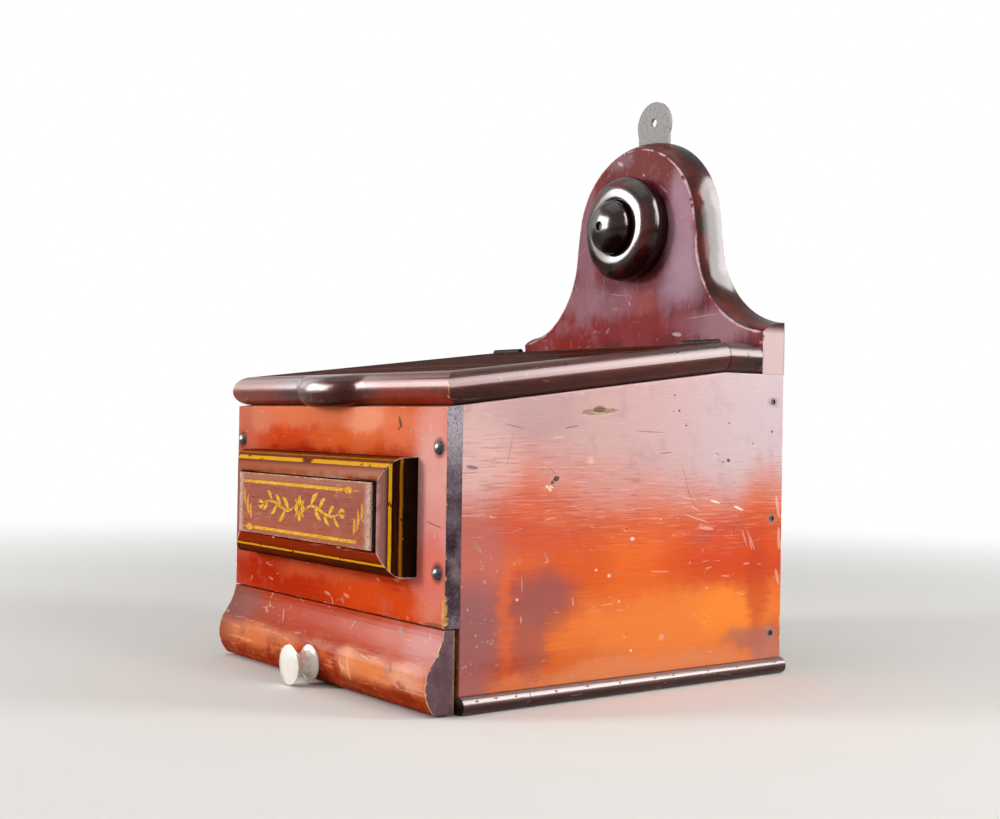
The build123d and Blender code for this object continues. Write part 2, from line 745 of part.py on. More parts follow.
# ---- drawer ----------------------------------------------------------------------------------------
def drawer_front():
    """Drawer front with a hollow running into a rounded belly."""
    belly_y = front_y - belly_reach + belly_radius
    turn = math.radians(shoulder_angle)
    shoulder = Vector(belly_y - belly_radius * math.cos(turn), belly_height + belly_radius * math.sin(turn))
    toe_drop = belly_height - drawer_front_bottom
    toe = Vector(belly_y - math.sqrt(belly_radius**2 - toe_drop**2), drawer_front_bottom)
    top = Vector(front_y, drawer_front_top)
    back_top = Vector(drawer_front_back_y, drawer_front_top)
    back_foot = Vector(drawer_front_back_y, drawer_front_bottom)
    section = make_face(
        [
            ThreePointArc(toe, (belly_y - belly_radius, belly_height), shoulder),
            TangentArc(shoulder, top, tangent=(math.sin(turn), math.cos(turn))),
            Line(top, back_top),
            Line(back_top, back_foot),
            Line(back_foot, toe),
        ]
    )
    front = Pos(-half_width, 0, 0) * extrude(Plane.YZ * section, box_width)
    housing_y = drawer_front_back_y - drawer_front_housing
    for sign in (LEFT, RIGHT):
        front -= block(
            (sign * drawer_half_width, sign * (drawer_half_width - drawer_side_thickness)),
            (housing_y, drawer_front_back_y),
            (base_thickness, base_thickness + drawer_side_height + housing_clearance),
        )
    front -= block(
        (-drawer_half_width, drawer_half_width),
        (housing_y, drawer_front_back_y),
        (drawer_bottom_z, drawer_bottom_z + drawer_bottom_thickness + housing_clearance),
    )
    seat_radius = knob_flange_radius + knob_seat_clearance
    front -= rod((0, knob_seat_y, knob_height), FORWARD, seat_radius, belly_reach)
    stud_radius = knob_stud_radius + fastener_clearance
    stud_hole = knob_stud_in_wood + fastener_clearance
    front -= rod((0, knob_seat_y, knob_height), BACKWARD, stud_radius, stud_hole)
    return front


def drawer_box():
    """Sides, back and bottom of the drawer."""
    front_end = drawer_front_back_y - drawer_front_housing
    heights = (base_thickness, base_thickness + drawer_side_height)
    bottom = (drawer_bottom_z, drawer_bottom_z + drawer_bottom_thickness)
    groove = (drawer_bottom_z, drawer_bottom_z + drawer_bottom_thickness + housing_clearance)
    inner = drawer_half_width - drawer_side_thickness
    nodes = {}
    for name, sign in SIDES.items():
        side = block((sign * inner, sign * drawer_half_width), (front_end, drawer_rear_y), heights)
        side -= block((sign * inner, sign * (inner + drawer_groove)), (front_end, drawer_rear_y), groove)
        for place in drawer_brad_places(sign):
            side -= brad(place, (-sign, 0, 0), drawer_brad_length, fastener_clearance)
        nodes[f"drawer_side_{name}"] = side
    back = block(
        (-inner, inner),
        (drawer_rear_y - drawer_back_thickness, drawer_rear_y),
        (bottom[1] + housing_clearance, heights[1]),
    )
    for sign in (LEFT, RIGHT):
        for place in drawer_brad_places(sign):
            back -= brad(place, (-sign, 0, 0), drawer_brad_length, fastener_clearance)
    nodes["drawer_back"] = back
    reach = inner + drawer_groove - housing_clearance
    nodes["drawer_bottom"] = block((-reach, reach), (front_end, drawer_rear_y), bottom)
    return nodes


def drawer_knob():
    """Ceramic knob: a flange, a waisted neck and a domed head."""
    lip = knob_flange_thickness / 4
    rim = knob_head_thickness / 3
    bevel = rim * math.sqrt(0.5)
    flange_lip = knob_flange_radius - lip
    head_lip = knob_head_radius - rim
    head_back, head_end = knob_head_setback, knob_head_setback + knob_head_thickness
    dome = cap_radius(knob_head_radius, knob_head_thickness - rim)
    profile = make_face(
        [
            Line((0, 0), (flange_lip, 0)),
            ThreePointArc((flange_lip, 0), (knob_flange_radius, lip), (flange_lip, 2 * lip)),
            ThreePointArc(
                (flange_lip, 2 * lip),
                (knob_neck_radius, (2 * lip + head_back) / 2),
                (head_lip, head_back),
            ),
            ThreePointArc(
                (head_lip, head_back),
                (head_lip + bevel, head_back + rim - bevel),
                (knob_head_radius, head_back + rim),
            ),
            RadiusArc((knob_head_radius, head_back + rim), (0, head_end), -dome),
            Line((0, head_end), (0, 0)),
        ]
    )
    knob = turned(profile, (0, knob_seat_y, knob_height), FORWARD)
    stud_radius = knob_stud_radius + fastener_clearance
    return knob - rod((0, knob_seat_y, knob_height), FORWARD, stud_radius, knob_stud_in_knob)


def knob_stud():
    """Brass stud cemented in the knob and driven into the drawer front."""
    start = (0, knob_seat_y + knob_stud_in_wood, knob_height)
    return rod(start, FORWARD, knob_stud_radius, knob_stud_in_wood + knob_stud_in_knob - fastener_clearance)


# ---- fasteners -------------------------------------------------------------------------------------
def dome_pin(place):
    """Domed pin; place is the middle of its head's underside."""
    sphere = cap_radius(pin_head_radius, pin_head_rise)
    profile = make_face(
        [
            Line((0, 0), (pin_head_radius, 0)),
            RadiusArc((pin_head_radius, 0), (0, pin_head_rise), -sphere),
            Line((0, pin_head_rise), (0, 0)),
        ]
    )
    return turned(profile, place, FORWARD) + rod(place, BACKWARD, pin_shank_radius, pin_length)


def fasteners():
    """Pins, brads, nails and screws, one sub-part for each kind and place."""
    side_brads = [
        brad(place, (-sign, 0, 0), brad_length) for sign in (LEFT, RIGHT) for place in side_brad_places(sign)
    ]
    drawer_brads = [
        brad(place, (-sign, 0, 0), drawer_brad_length)
        for sign in (LEFT, RIGHT)
        for place in drawer_brad_places(sign)
    ]
    return {
        "front_panel_pins": joined(*(dome_pin(place) for place in pin_places())),
        "side_brads": joined(*side_brads),
        "base_nails": joined(*(brad(place, UPWARD, base_nail_length) for place in base_nail_places())),
        "rail_screws": joined(*(screw(p, FORWARD, rail_screw_length) for p in rail_screw_places())),
        "hanger_screws": joined(*(screw(p, FORWARD, hanger_screw_length) for p in hanger_screw_places())),
        "boss_screw": boss_fixing(),
        "drawer_brads": joined(*drawer_brads),
    }


def build():
    """Every sub-part by its node name."""
    return {
        **base_boards(),
        "side_left": side_board(LEFT),
        "side_right": side_board(RIGHT),
        "front_panel": front_panel(),
        "salt_floor": salt_floor(),
        "back_board": back_board(),
        "hanger_plate": hanger_plate(),
        "crest_boss": crest_boss(),
        "hinge_rail": hinge_rail(),
        "lid_board": lid_board(),
        "lid_edge_front": lid_front_edge(),
        "lid_edge_left": lid_side_edge(LEFT),
        "lid_edge_right": lid_side_edge(RIGHT),
        **hinges(),
        **plaque(),
        "drawer_front": drawer_front(),
        **drawer_box(),
        "drawer_knob": drawer_knob(),
        "knob_stud": knob_stud(),
        **fasteners(),
    }


def main():
    """Write one STEP file for each sub-part."""
    os.makedirs("parts", exist_ok=True)
    for node, shape in build().items():
        export_step(shape, f"parts/{node}.step")


if __name__ == "__main__":
    main()
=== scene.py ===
"""Looks of a wall-hanging wooden salt box.

Worn varnish, a painted plaque, a dark polished lid, iron pins and a white knob.

Lengths that describe the box are in millimetres, as are all shader coordinates.
Blender's own units are metres.
"""

import logging
import math
import random
from dataclasses import dataclass, field
from enum import Enum
from functools import reduce
from typing import Iterable, Mapping, Optional, Sequence, Union

import bmesh
import bpy
from mathutils import Matrix, Vector


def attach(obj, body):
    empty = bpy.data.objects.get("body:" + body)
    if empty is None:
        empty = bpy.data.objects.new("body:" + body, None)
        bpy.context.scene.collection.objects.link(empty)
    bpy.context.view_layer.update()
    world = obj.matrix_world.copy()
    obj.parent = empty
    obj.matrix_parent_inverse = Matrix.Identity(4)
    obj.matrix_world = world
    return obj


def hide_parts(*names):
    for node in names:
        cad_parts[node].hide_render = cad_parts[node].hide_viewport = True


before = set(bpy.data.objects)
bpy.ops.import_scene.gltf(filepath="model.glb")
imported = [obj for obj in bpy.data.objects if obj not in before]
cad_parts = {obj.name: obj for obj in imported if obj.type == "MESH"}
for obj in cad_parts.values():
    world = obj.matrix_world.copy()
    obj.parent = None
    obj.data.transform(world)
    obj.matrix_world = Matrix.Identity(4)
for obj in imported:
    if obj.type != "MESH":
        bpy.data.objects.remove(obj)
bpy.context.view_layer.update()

log = logging.getLogger("salt_box")

MM = 0.001
Triple = tuple[float, float, float]
Pair = tuple[float, float]


# ---- shader expressions ------------------------------------------------------------------------
def shade(code: str, alpha: float = 1.0) -> tuple[float, float, float, float]:
    """Turn a display colour into the linear colour that a shader takes.

    Args:
        code: Six hexadecimal digits, red first.
        alpha: Opacity.

    Returns:
        Linear red, green and blue, and alpha.
    """
    channels = [int(code[index : index + 2], 16) / 255 for index in (0, 2, 4)]
    linear = [c / 12.92 if c <= 0.04045 else ((c + 0.055) / 1.055) ** 2.4 for c in channels]
    return (linear[0], linear[1], linear[2], alpha)


WHITE = shade("ffffff")


@dataclass(frozen=True)
class Sock:
    """Output of a shader node that can stand in a Python expression."""

    nodes: "Nodes"
    out: bpy.types.NodeSocket

    def _math(self, operation: str, *values: "Value") -> "Sock":
        """Add a Math node."""
        return self.nodes.node("ShaderNodeMath", {"operation": operation}, dict(enumerate(values)))

    def __add__(self, other: "Value") -> "Sock":
        """Sum."""
        return self._math("ADD", self, other)

    __radd__ = __add__

    def __sub__(self, other: "Value") -> "Sock":
        """Difference."""
        return self._math("SUBTRACT", self, other)

    def __rsub__(self, other: "Value") -> "Sock":
        """Difference from a number."""
        return self._math("SUBTRACT", other, self)

    def __mul__(self, other: "Value") -> "Sock":
        """Product."""
        return self._math("MULTIPLY", self, other)

    __rmul__ = __mul__

    def __abs__(self) -> "Sock":
        """Size without sign."""
        return self._math("ABSOLUTE", self)

    def root(self) -> "Sock":
        """Square root."""
        return self._math("SQRT", self)

    def least(self, other: "Value") -> "Sock":
        """Smaller of two values."""
        return self._math("MINIMUM", self, other)

    def most(self, other: "Value") -> "Sock":
        """Larger of two values."""
        return self._math("MAXIMUM", self, other)

    def smooth(self, low: float, high: float) -> "Sock":
        """Smooth step from 0 at low to 1 at high; low may be the larger."""
        settings = {"interpolation_type": "SMOOTHSTEP"}
        return self.nodes.node("ShaderNodeMapRange", settings, {0: self, 1: low, 2: high})

    def band(self, low: float, high: float, soft: float) -> "Sock":
        """Mask that is 1 between two values, with soft edges."""
        return self.smooth(low - soft, low + soft) * self.smooth(high + soft, high - soft)


Value = Union[Sock, float]
Input = Union[Sock, float, int, Sequence[float]]


class Grain(Enum):
    """Direction of the fibres, as how much each axis is squeezed before a noise is drawn on it."""

    ALONG_X = (0.05, 1.0, 1.0)
    ALONG_Y = (1.0, 0.05, 1.0)
    ALONG_Z = (1.0, 1.0, 0.05)


class Face(Enum):
    """Plane that marks are drawn on, as the two axes it spans."""

    SIDE = (1, 2)
    FRONT = (0, 2)

    def lift(self, pair: Sequence[float]) -> Triple:
        """Give a pair on the face its third coordinate, 0.

        Args:
            pair: First and second coordinate on the face.

        Returns:
            The point.
        """
        lifted = [0.0, 0.0, 0.0]
        lifted[self.value[0]], lifted[self.value[1]] = pair
        return tuple(lifted)


class Blend(Enum):
    """Way to lay a colour on another."""

    COVER = "MIX"
    DARKEN = "MULTIPLY"


class Nodes:
    """One node tree while its nodes are being made."""

    def __init__(self, holder: Union[bpy.types.Material, bpy.types.World]) -> None:
        """Start with an empty tree.

        Args:
            holder: What the tree belongs to.
        """
        holder.use_nodes = True
        self.tree = holder.node_tree
        self.tree.nodes.clear()

    def node(
        self,
        kind: str,
        settings: Mapping[str, object],
        inputs: Mapping[Union[int, str], Input],
        output: Union[int, str] = 0,
    ) -> Sock:
        """Add a node.

        Args:
            kind: Node type.
            settings: Attributes of the node, set before its sockets; stops are a ramp's places and colours.
            inputs: Values or links of its sockets.
            output: Which output to return.

        Returns:
            The chosen output.
        """
        made = self.tree.nodes.new(kind)
        for name, value in settings.items():
            if name == "stops":
                self._set_stops(made.color_ramp, value)
            else:
                setattr(made, name, value)
        for key, value in inputs.items():
            if isinstance(value, Sock):
                self.tree.links.new(value.out, made.inputs[key])
            else:
                made.inputs[key].default_value = value
        return Sock(self, made.outputs[output])

    @staticmethod
    def _set_stops(ramp: bpy.types.ColorRamp, stops: Sequence[tuple[float, str]]) -> None:
        """Give a colour ramp its stops.

        Args:
            ramp: The ramp, which starts with two stops.
            stops: Places and colours.
        """
        while len(ramp.elements) < len(stops):
            ramp.elements.new(0.5)
        for element, (position, code) in zip(ramp.elements, stops):
            element.position = position
            element.color = shade(code)

    def close(self, shader: Sock, kind: str = "ShaderNodeOutputMaterial") -> None:
        """Link a shader to the tree's output."""
        made = self.tree.nodes.new(kind)
        self.tree.links.new(shader.out, made.inputs["Surface"])


class Paint(Nodes):
    """One material while its nodes are being made."""

    def __init__(self, name: str) -> None:
        """Start an empty material.

        Args:
            name: Name of the material.
        """
        self.material = bpy.data.materials.new(name)
        super().__init__(self.material)
        place = self.node("ShaderNodeTexCoord", {}, {}, "Object")
        self.place = self.vector("SCALE", place, scale=1 / MM)
        self.x, self.y, self.z = (
            self.node("ShaderNodeSeparateXYZ", {}, {0: self.place}, index) for index in range(3)
        )

    def vector(self, operation: str, *values: Input, scale: float = 1.0) -> Sock:
        """Vector Math on vectors; a length comes from the value output.

        Args:
            operation: Vector Math operation.
            values: Vectors that it takes.
            scale: Factor of a scaling.

        Returns:
            The vector or number.
        """
        inputs: dict[Union[int, str], Input] = dict(enumerate(values))
        if operation == "SCALE":
            inputs["Scale"] = scale
        output = "Value" if operation in ("LENGTH", "DOT_PRODUCT") else "Vector"
        return self.node("ShaderNodeVectorMath", {"operation": operation}, inputs, output)

    def mix(self, mask: Value, first: Input, second: Input, blend: Blend = Blend.COVER) -> Sock:
        """Mix of two colours."""
        settings = {"data_type": "RGBA", "blend_type": blend.value, "clamp_factor": True}
        return self.node("ShaderNodeMix", settings, {0: mask, 6: first, 7: second}, 2)

    def squeezed(self, stretch: Triple, shift: float = 0.0) -> Sock:
        """Coordinates squeezed along the axes and moved, for a stretched noise."""
        moved = self.vector("ADD", self.place, (shift, shift, shift))
        return self.vector("MULTIPLY", moved, stretch)

    def noise(self, where: Sock, per_mm: float, detail: float = 3.0, rough: float = 0.5) -> Sock:
        """Cloudy noise from 0 to 1 with a given fineness."""
        inputs = {"Vector": where, "Scale": per_mm, "Detail": detail, "Roughness": rough}
        return self.node("ShaderNodeTexNoise", {}, inputs)

    def clouds(self, size: float, shift: float = 0.0, detail: float = 3.0) -> Sock:
        """Even noise whose blotches are about a size across."""
        return self.noise(self.squeezed((1.0, 1.0, 1.0), shift), 1 / size, detail, 0.6)

    def flecks(self, spacing: float, size: float, share: float, shift: float = 0.0) -> Sock:
        """Mask of scattered spots.

        Args:
            spacing: Distance between the cells that may hold a spot.
            size: Radius of a spot.
            share: How many of the cells hold one.
            shift: Moves the pattern.

        Returns:
            1 inside a spot.
        """
        where = self.squeezed((1.0, 1.0, 1.0), shift)
        inputs = {"Vector": where, "Scale": 1 / spacing}
        near = self.node("ShaderNodeTexVoronoi", {}, inputs, "Distance")
        cell = self.node("ShaderNodeTexVoronoi", {}, inputs, "Color")
        lot = self.node("ShaderNodeSeparateColor", {}, {0: cell}, 0)
        ragged = self.noise(where, 1 / size, 2.0) * (0.8 * size)
        spot = (near * spacing + ragged).smooth(1.5 * size, 0.9 * size)
        return spot * lot.smooth(share + 0.01, share - 0.01)

    def scratches(self, along: Triple, width: float, shift: float = 0.0) -> Sock:
        """Mask of fine broken lines.

        Args:
            along: Squeeze of the axes; the smallest runs along the lines.
            width: How wide the lines are, as a part of the noise's range.
            shift: Moves the pattern.

        Returns:
            1 on a line.
        """
        waves = self.noise(self.squeezed(along, shift), 0.09, 1.0)
        line = abs(waves - 0.5).smooth(width, width * 0.3)
        broken = self.clouds(9.0, shift + 40.0, 4.0).smooth(0.55, 0.64)
        return line * broken

    def warped(self, grain: Grain, clouds: float = 8.0, streaks: float = 5.0) -> Sock:
        """Coordinates pushed about by clouds and, along the grain, by the fibres.

        Args:
            grain: Direction of the fibres.
            clouds: How far the clouds push, in each direction.
            streaks: How far the fibres push.

        Returns:
            The coordinates.
        """
        where = self.squeezed((1.0, 1.0, 1.0), 50.0)
        source = {"Vector": where, "Scale": 0.055, "Detail": 4.0, "Roughness": 0.65}
        cloud = self.node("ShaderNodeTexNoise", {}, source, "Color")
        fibre = self.noise(self.squeezed(grain.value, 17.0), 0.55, 4.0, 0.6) - 0.5
        moved = {}
        for axis, channel in enumerate(("Red", "Green", "Blue")):
            part = self.node("ShaderNodeSeparateColor", {}, {"Color": cloud}, channel)
            push = (part - 0.5) * (2.0 * clouds)
            if grain.value[axis] < 1.0:
                push = push + fibre * (2.0 * streaks)
            moved[axis] = (self.x, self.y, self.z)[axis] + push
        return self.node("ShaderNodeCombineXYZ", {}, moved)

    def spot(
        self,
        centre: Triple,
        radii: Triple,
        soft: float,
        ragged: float = 0.0,
        where: Optional[Sock] = None,
    ) -> Sock:
        """Mask of an egg-shaped place.

        Args:
            centre: Its middle.
            radii: Its radii; a very large one leaves that axis out.
            soft: Width of its edge, as a share of its radii.
            ragged: How far a noise breaks its edge.
            where: Coordinates to draw it on, where they aren't the plain ones.

        Returns:
            1 inside it.
        """
        offset = self.vector("SUBTRACT", where or self.place, centre)
        away = self.vector("LENGTH", self.vector("DIVIDE", offset, radii))
        if ragged:
            away = away + (self.clouds(min(radii) * 0.9, sum(centre), 4.0) - 0.5) * ragged
        return away.smooth(1.0 + soft / 2, 1.0 - soft / 2)

    def stroke(self, face: Face, start: Pair, end: Pair, width: float, ragged: float = 0.9) -> Sock:
        """Mask of a spindle-shaped mark on a face.

        Args:
            face: Face it is drawn on.
            start: One end.
            end: Its other end.
            width: Half its width in the middle.
            ragged: How far a noise breaks its edge.

        Returns:
            1 inside it.
        """
        span = Vector(end) - Vector(start)
        middle = (Vector(start) + Vector(end)) / 2
        along = span / (0.5 * span.length_squared)
        across = Vector((-span.y, span.x)) / (span.length * width)
        forward = self.vector("DOT_PRODUCT", self.place, face.lift(along)) - middle.dot(along)
        aside = self.vector("DOT_PRODUCT", self.place, face.lift(across)) - middle.dot(across)
        away = forward * forward + aside * aside + (self.clouds(1.5, 9.0) - 0.5) * ragged
        return away.smooth(1.25, 0.7)

    def dents(self, cluster: Sock, spacing: float, size: float) -> Sock:
        """Mask of small dents close together inside a place."""
        return self.flecks(spacing, size, 0.55, 88.0) * cluster

    def line_distance(self, start: Triple, way: Triple) -> Sock:
        """Distance from an endless straight line.

        Args:
            start: Where it starts.
            way: Direction of the line.

        Returns:
            The value or mask.
        """
        unit = tuple(Vector(way).normalized())
        offset = self.vector("SUBTRACT", self.place, start)
        return self.vector("LENGTH", self.vector("CROSS_PRODUCT", offset, unit))

    def near_lines(self, lines: Iterable[tuple[Triple, Triple]], reach: float) -> Sock:
        """Broken mask along straight arrises."""
        distances = [self.line_distance(start, way) for start, way in lines]
        return self.worn_edge(reduce(Sock.least, distances), reach)

    def worn_edge(self, distance: Sock, reach: float) -> Sock:
        """Broken mask from a distance to an arris."""
        uneven = self.clouds(6.0, 11.0, 5.0) * (2.2 * reach) + (0.1 - reach)
        return (distance - uneven).smooth(0.25 * reach, -0.15 * reach)

    def finish(
        self,
        coat: "Coat",
        metallic: float = 0.0,
        gloss: Value = 0.0,
        gloss_roughness: float = 0.12,
        specular: float = 0.5,
        tint: str = "ffffff",
    ) -> bpy.types.Material:
        """Close the material with its shader.

        Args:
            coat: Colour, roughness and relief.
            metallic: Share of metal.
            gloss: Weight of the clear coat.
            gloss_roughness: Roughness of the clear coat.
            specular: Level of the plain reflection.
            tint: Colour of the plain reflection.

        Returns:
            The finished material.
        """
        normal = self.node("ShaderNodeBump", {}, {"Strength": 1.0, "Distance": MM, "Height": coat.height})
        inputs = {
            "Base Color": coat.colour,
            "Roughness": coat.rough,
            "Metallic": metallic,
            "Coat Weight": gloss,
            "Coat Roughness": gloss_roughness,
            "Specular IOR Level": specular,
            "Specular Tint": shade(tint),
            "Normal": normal,
        }
        shader = self.node("ShaderNodeBsdfPrincipled", {}, inputs)
        self.close(shader)
        return self.material


@dataclass(frozen=True)
class Coat:
    """Colour, roughness and relief in millimetres of a surface as it is painted layer by layer."""

    paint: Paint
    colour: Sock
    rough: Sock
    height: Sock

    def tinted(self, code: str, mask: Value, blend: Blend = Blend.COVER) -> "Coat":
        """Lay a colour where the mask is 1."""
        colour = self.paint.mix(mask, self.colour, shade(code), blend)
        return Coat(self.paint, colour, self.rough, self.height)

    def dulled(self, rough: float, mask: Sock) -> "Coat":
        """Move the roughness towards a value where the mask is 1."""
        blended = self.rough + (rough - self.rough) * mask
        return Coat(self.paint, self.colour, blended, self.height)

    def sunk(self, depth: float, mask: Sock) -> "Coat":
        """Lower the surface where the mask is 1; a negative depth raises it."""
        return Coat(self.paint, self.colour, self.rough, self.height - mask * depth)

    def marked(self, mask: Sock, code: str, strength: float, depth: float) -> "Coat":
        """Lay and sink marks of one colour where the mask is 1."""
        return self.tinted(code, mask * strength).sunk(depth, mask)

    def covered(self, other: "Coat", mask: Sock) -> "Coat":
        """Lay another surface over this one where the mask is 1.

        Args:
            other: Surface on top.
            mask: Where it lies.

        Returns:
            The new coat.
        """
        colour = self.paint.mix(mask, self.colour, other.colour)
        rough = self.rough + (other.rough - self.rough) * mask
        height = self.height + (other.height - self.height) * mask
        return Coat(self.paint, colour, rough, height)


@dataclass(frozen=True)
class Timber:
    """One kind of wood surface: its fibres, slow figure and pores."""

    grain: Grain
    dark: str
    middle: str
    light: str
    fibre: float = 0.7
    figure: float = 0.055
    ripple: float = 0.03
    rough: float = 0.38

    def lay(self, paint: Paint) -> Coat:
        """Paint the bare surface.

        Args:
            paint: Material being made.

        Returns:
            Its first coat.
        """
        along = paint.squeezed(self.grain.value)
        figure = paint.noise(along, self.figure, 3.0, 0.55)
        fibre = paint.noise(along, self.fibre, 5.0, 0.62)
        pores = paint.noise(paint.squeezed(self.grain.value, 31.0), 2.4 * self.fibre, 2.0).smooth(0.60, 0.70)
        tone = figure * 0.62 + fibre * 0.38
        stops = [(0.36, self.dark), (0.50, self.middle), (0.64, self.light)]
        colour = paint.node("ShaderNodeValToRGB", {"stops": stops}, {0: tone})
        rough = fibre * 0.16 + (self.rough - 0.08)
        height = fibre * self.ripple - pores * (0.6 * self.ripple)
        coat = Coat(paint, colour, rough, height)
        return coat.tinted(self.dark, pores * 0.45, Blend.DARKEN)


@dataclass(frozen=True)
class Stain:
    """Soft patch of another colour."""

    centre: Triple
    radii: Triple
    code: str
    strength: float
    soft: float = 1.0

    def over(self, coat: Coat, where: Sock) -> Coat:
        """Lay the stain over a coat, on warped coordinates."""
        mask = coat.paint.spot(self.centre, self.radii, self.soft, where=where) * self.strength
        return coat.tinted(self.code, mask)


@dataclass(frozen=True)
class Marks:
    """Scratches, scuffs or bruises of one colour; each has two ends and half its width."""

    face: Face
    code: str
    strength: float
    depth: float
    places: tuple[tuple, ...]

    def masks(self, paint: Paint) -> list[Sock]:
        """One mask for each mark."""
        return [paint.stroke(self.face, start, end, width) for start, end, width in self.places]

    def over(self, coat: Coat) -> Coat:
        """Lay the marks over a coat."""
        mask = reduce(Sock.most, self.masks(coat.paint))
        return coat.marked(mask, self.code, self.strength, self.depth)


@dataclass(frozen=True)
class Pits(Marks):
    """Small round pits or chips of one colour; each has its place on the face and its radius."""

    def masks(self, paint: Paint) -> list[Sock]:
        """One mask for each pit."""
        ends = [((x - size, y), (x + size, y), size) for x, y, size in self.places]
        return [paint.stroke(self.face, start, end, 0.8 * size, 1.5) for start, end, size in ends]


@dataclass(frozen=True)
class Finish:
    """A surface finish; each makes one material."""

    name: str

    def dress(self, paint: Paint) -> bpy.types.Material:
        """Make the nodes of this finish."""
        raise NotImplementedError

    def material(self) -> bpy.types.Material:
        """Return the finish's material, made the first time it is asked for.

        Returns:
            The finished material.
        """
        if self not in MADE:
            MADE[self] = self.dress(Paint(self.name))
        return MADE[self]


MADE: dict[Finish, bpy.types.Material] = {}


# ---- sizes that the finishes share ---------------------------------------------------------------
FAR = 1.0e6  # a radius that leaves its axis out
HALF_WIDTH = 100.0
FRONT_Y = -106.0
FRONT_LOW_Z = 38.0
FRONT_HIGH_Z = 134.0
SIDE_FRONT_Y = -98.0
WALL_Y = 106.0
BACK_FACE_Y = 90.0
INNER_HALF = 88.0
RAIL_FRONT_Y = 63.5
RAIL_TOP = 169.81
SIDE_HEIGHT = 154.5
LID_HALF = 103.5
LID_FRONT_Y = -108.0
LID_SLOPE = math.radians(6.896)
LID_THICKNESS = 15.0
CREST_RADIUS = 48.0
CREST_CENTRE_Z = 236.0
PLAQUE_HALF = 77.5
PLAQUE_LOW_Z = 58.05
PLAQUE_HIGH_Z = 111.55
TABLET_HALF = 64.25
TABLET_LOW_Z = 69.6
TABLET_HIGH_Z = 100.0
TABLET_FACE_Y = -122.6
MITRE_SLANT = 0.7071
RAW_PINE = Timber(Grain.ALONG_Y, "6f4a2c", "94704a", "b3905f", fibre=0.9, ripple=0.05, rough=0.72)
RAW_PINE_ACROSS = Timber(Grain.ALONG_X, "6f4a2c", "94704a", "b3905f", fibre=0.9, ripple=0.05, rough=0.72)
RAW_PINE_UPRIGHT = Timber(Grain.ALONG_Z, "5d3f27", "7d5b3b", "9a7a52", fibre=0.9, ripple=0.06, rough=0.78)
END_GRAIN = Timber(
    Grain.ALONG_X, "2c2328", "54454c", "7d6c74", fibre=1.3, figure=0.12, ripple=0.07, rough=0.42
)


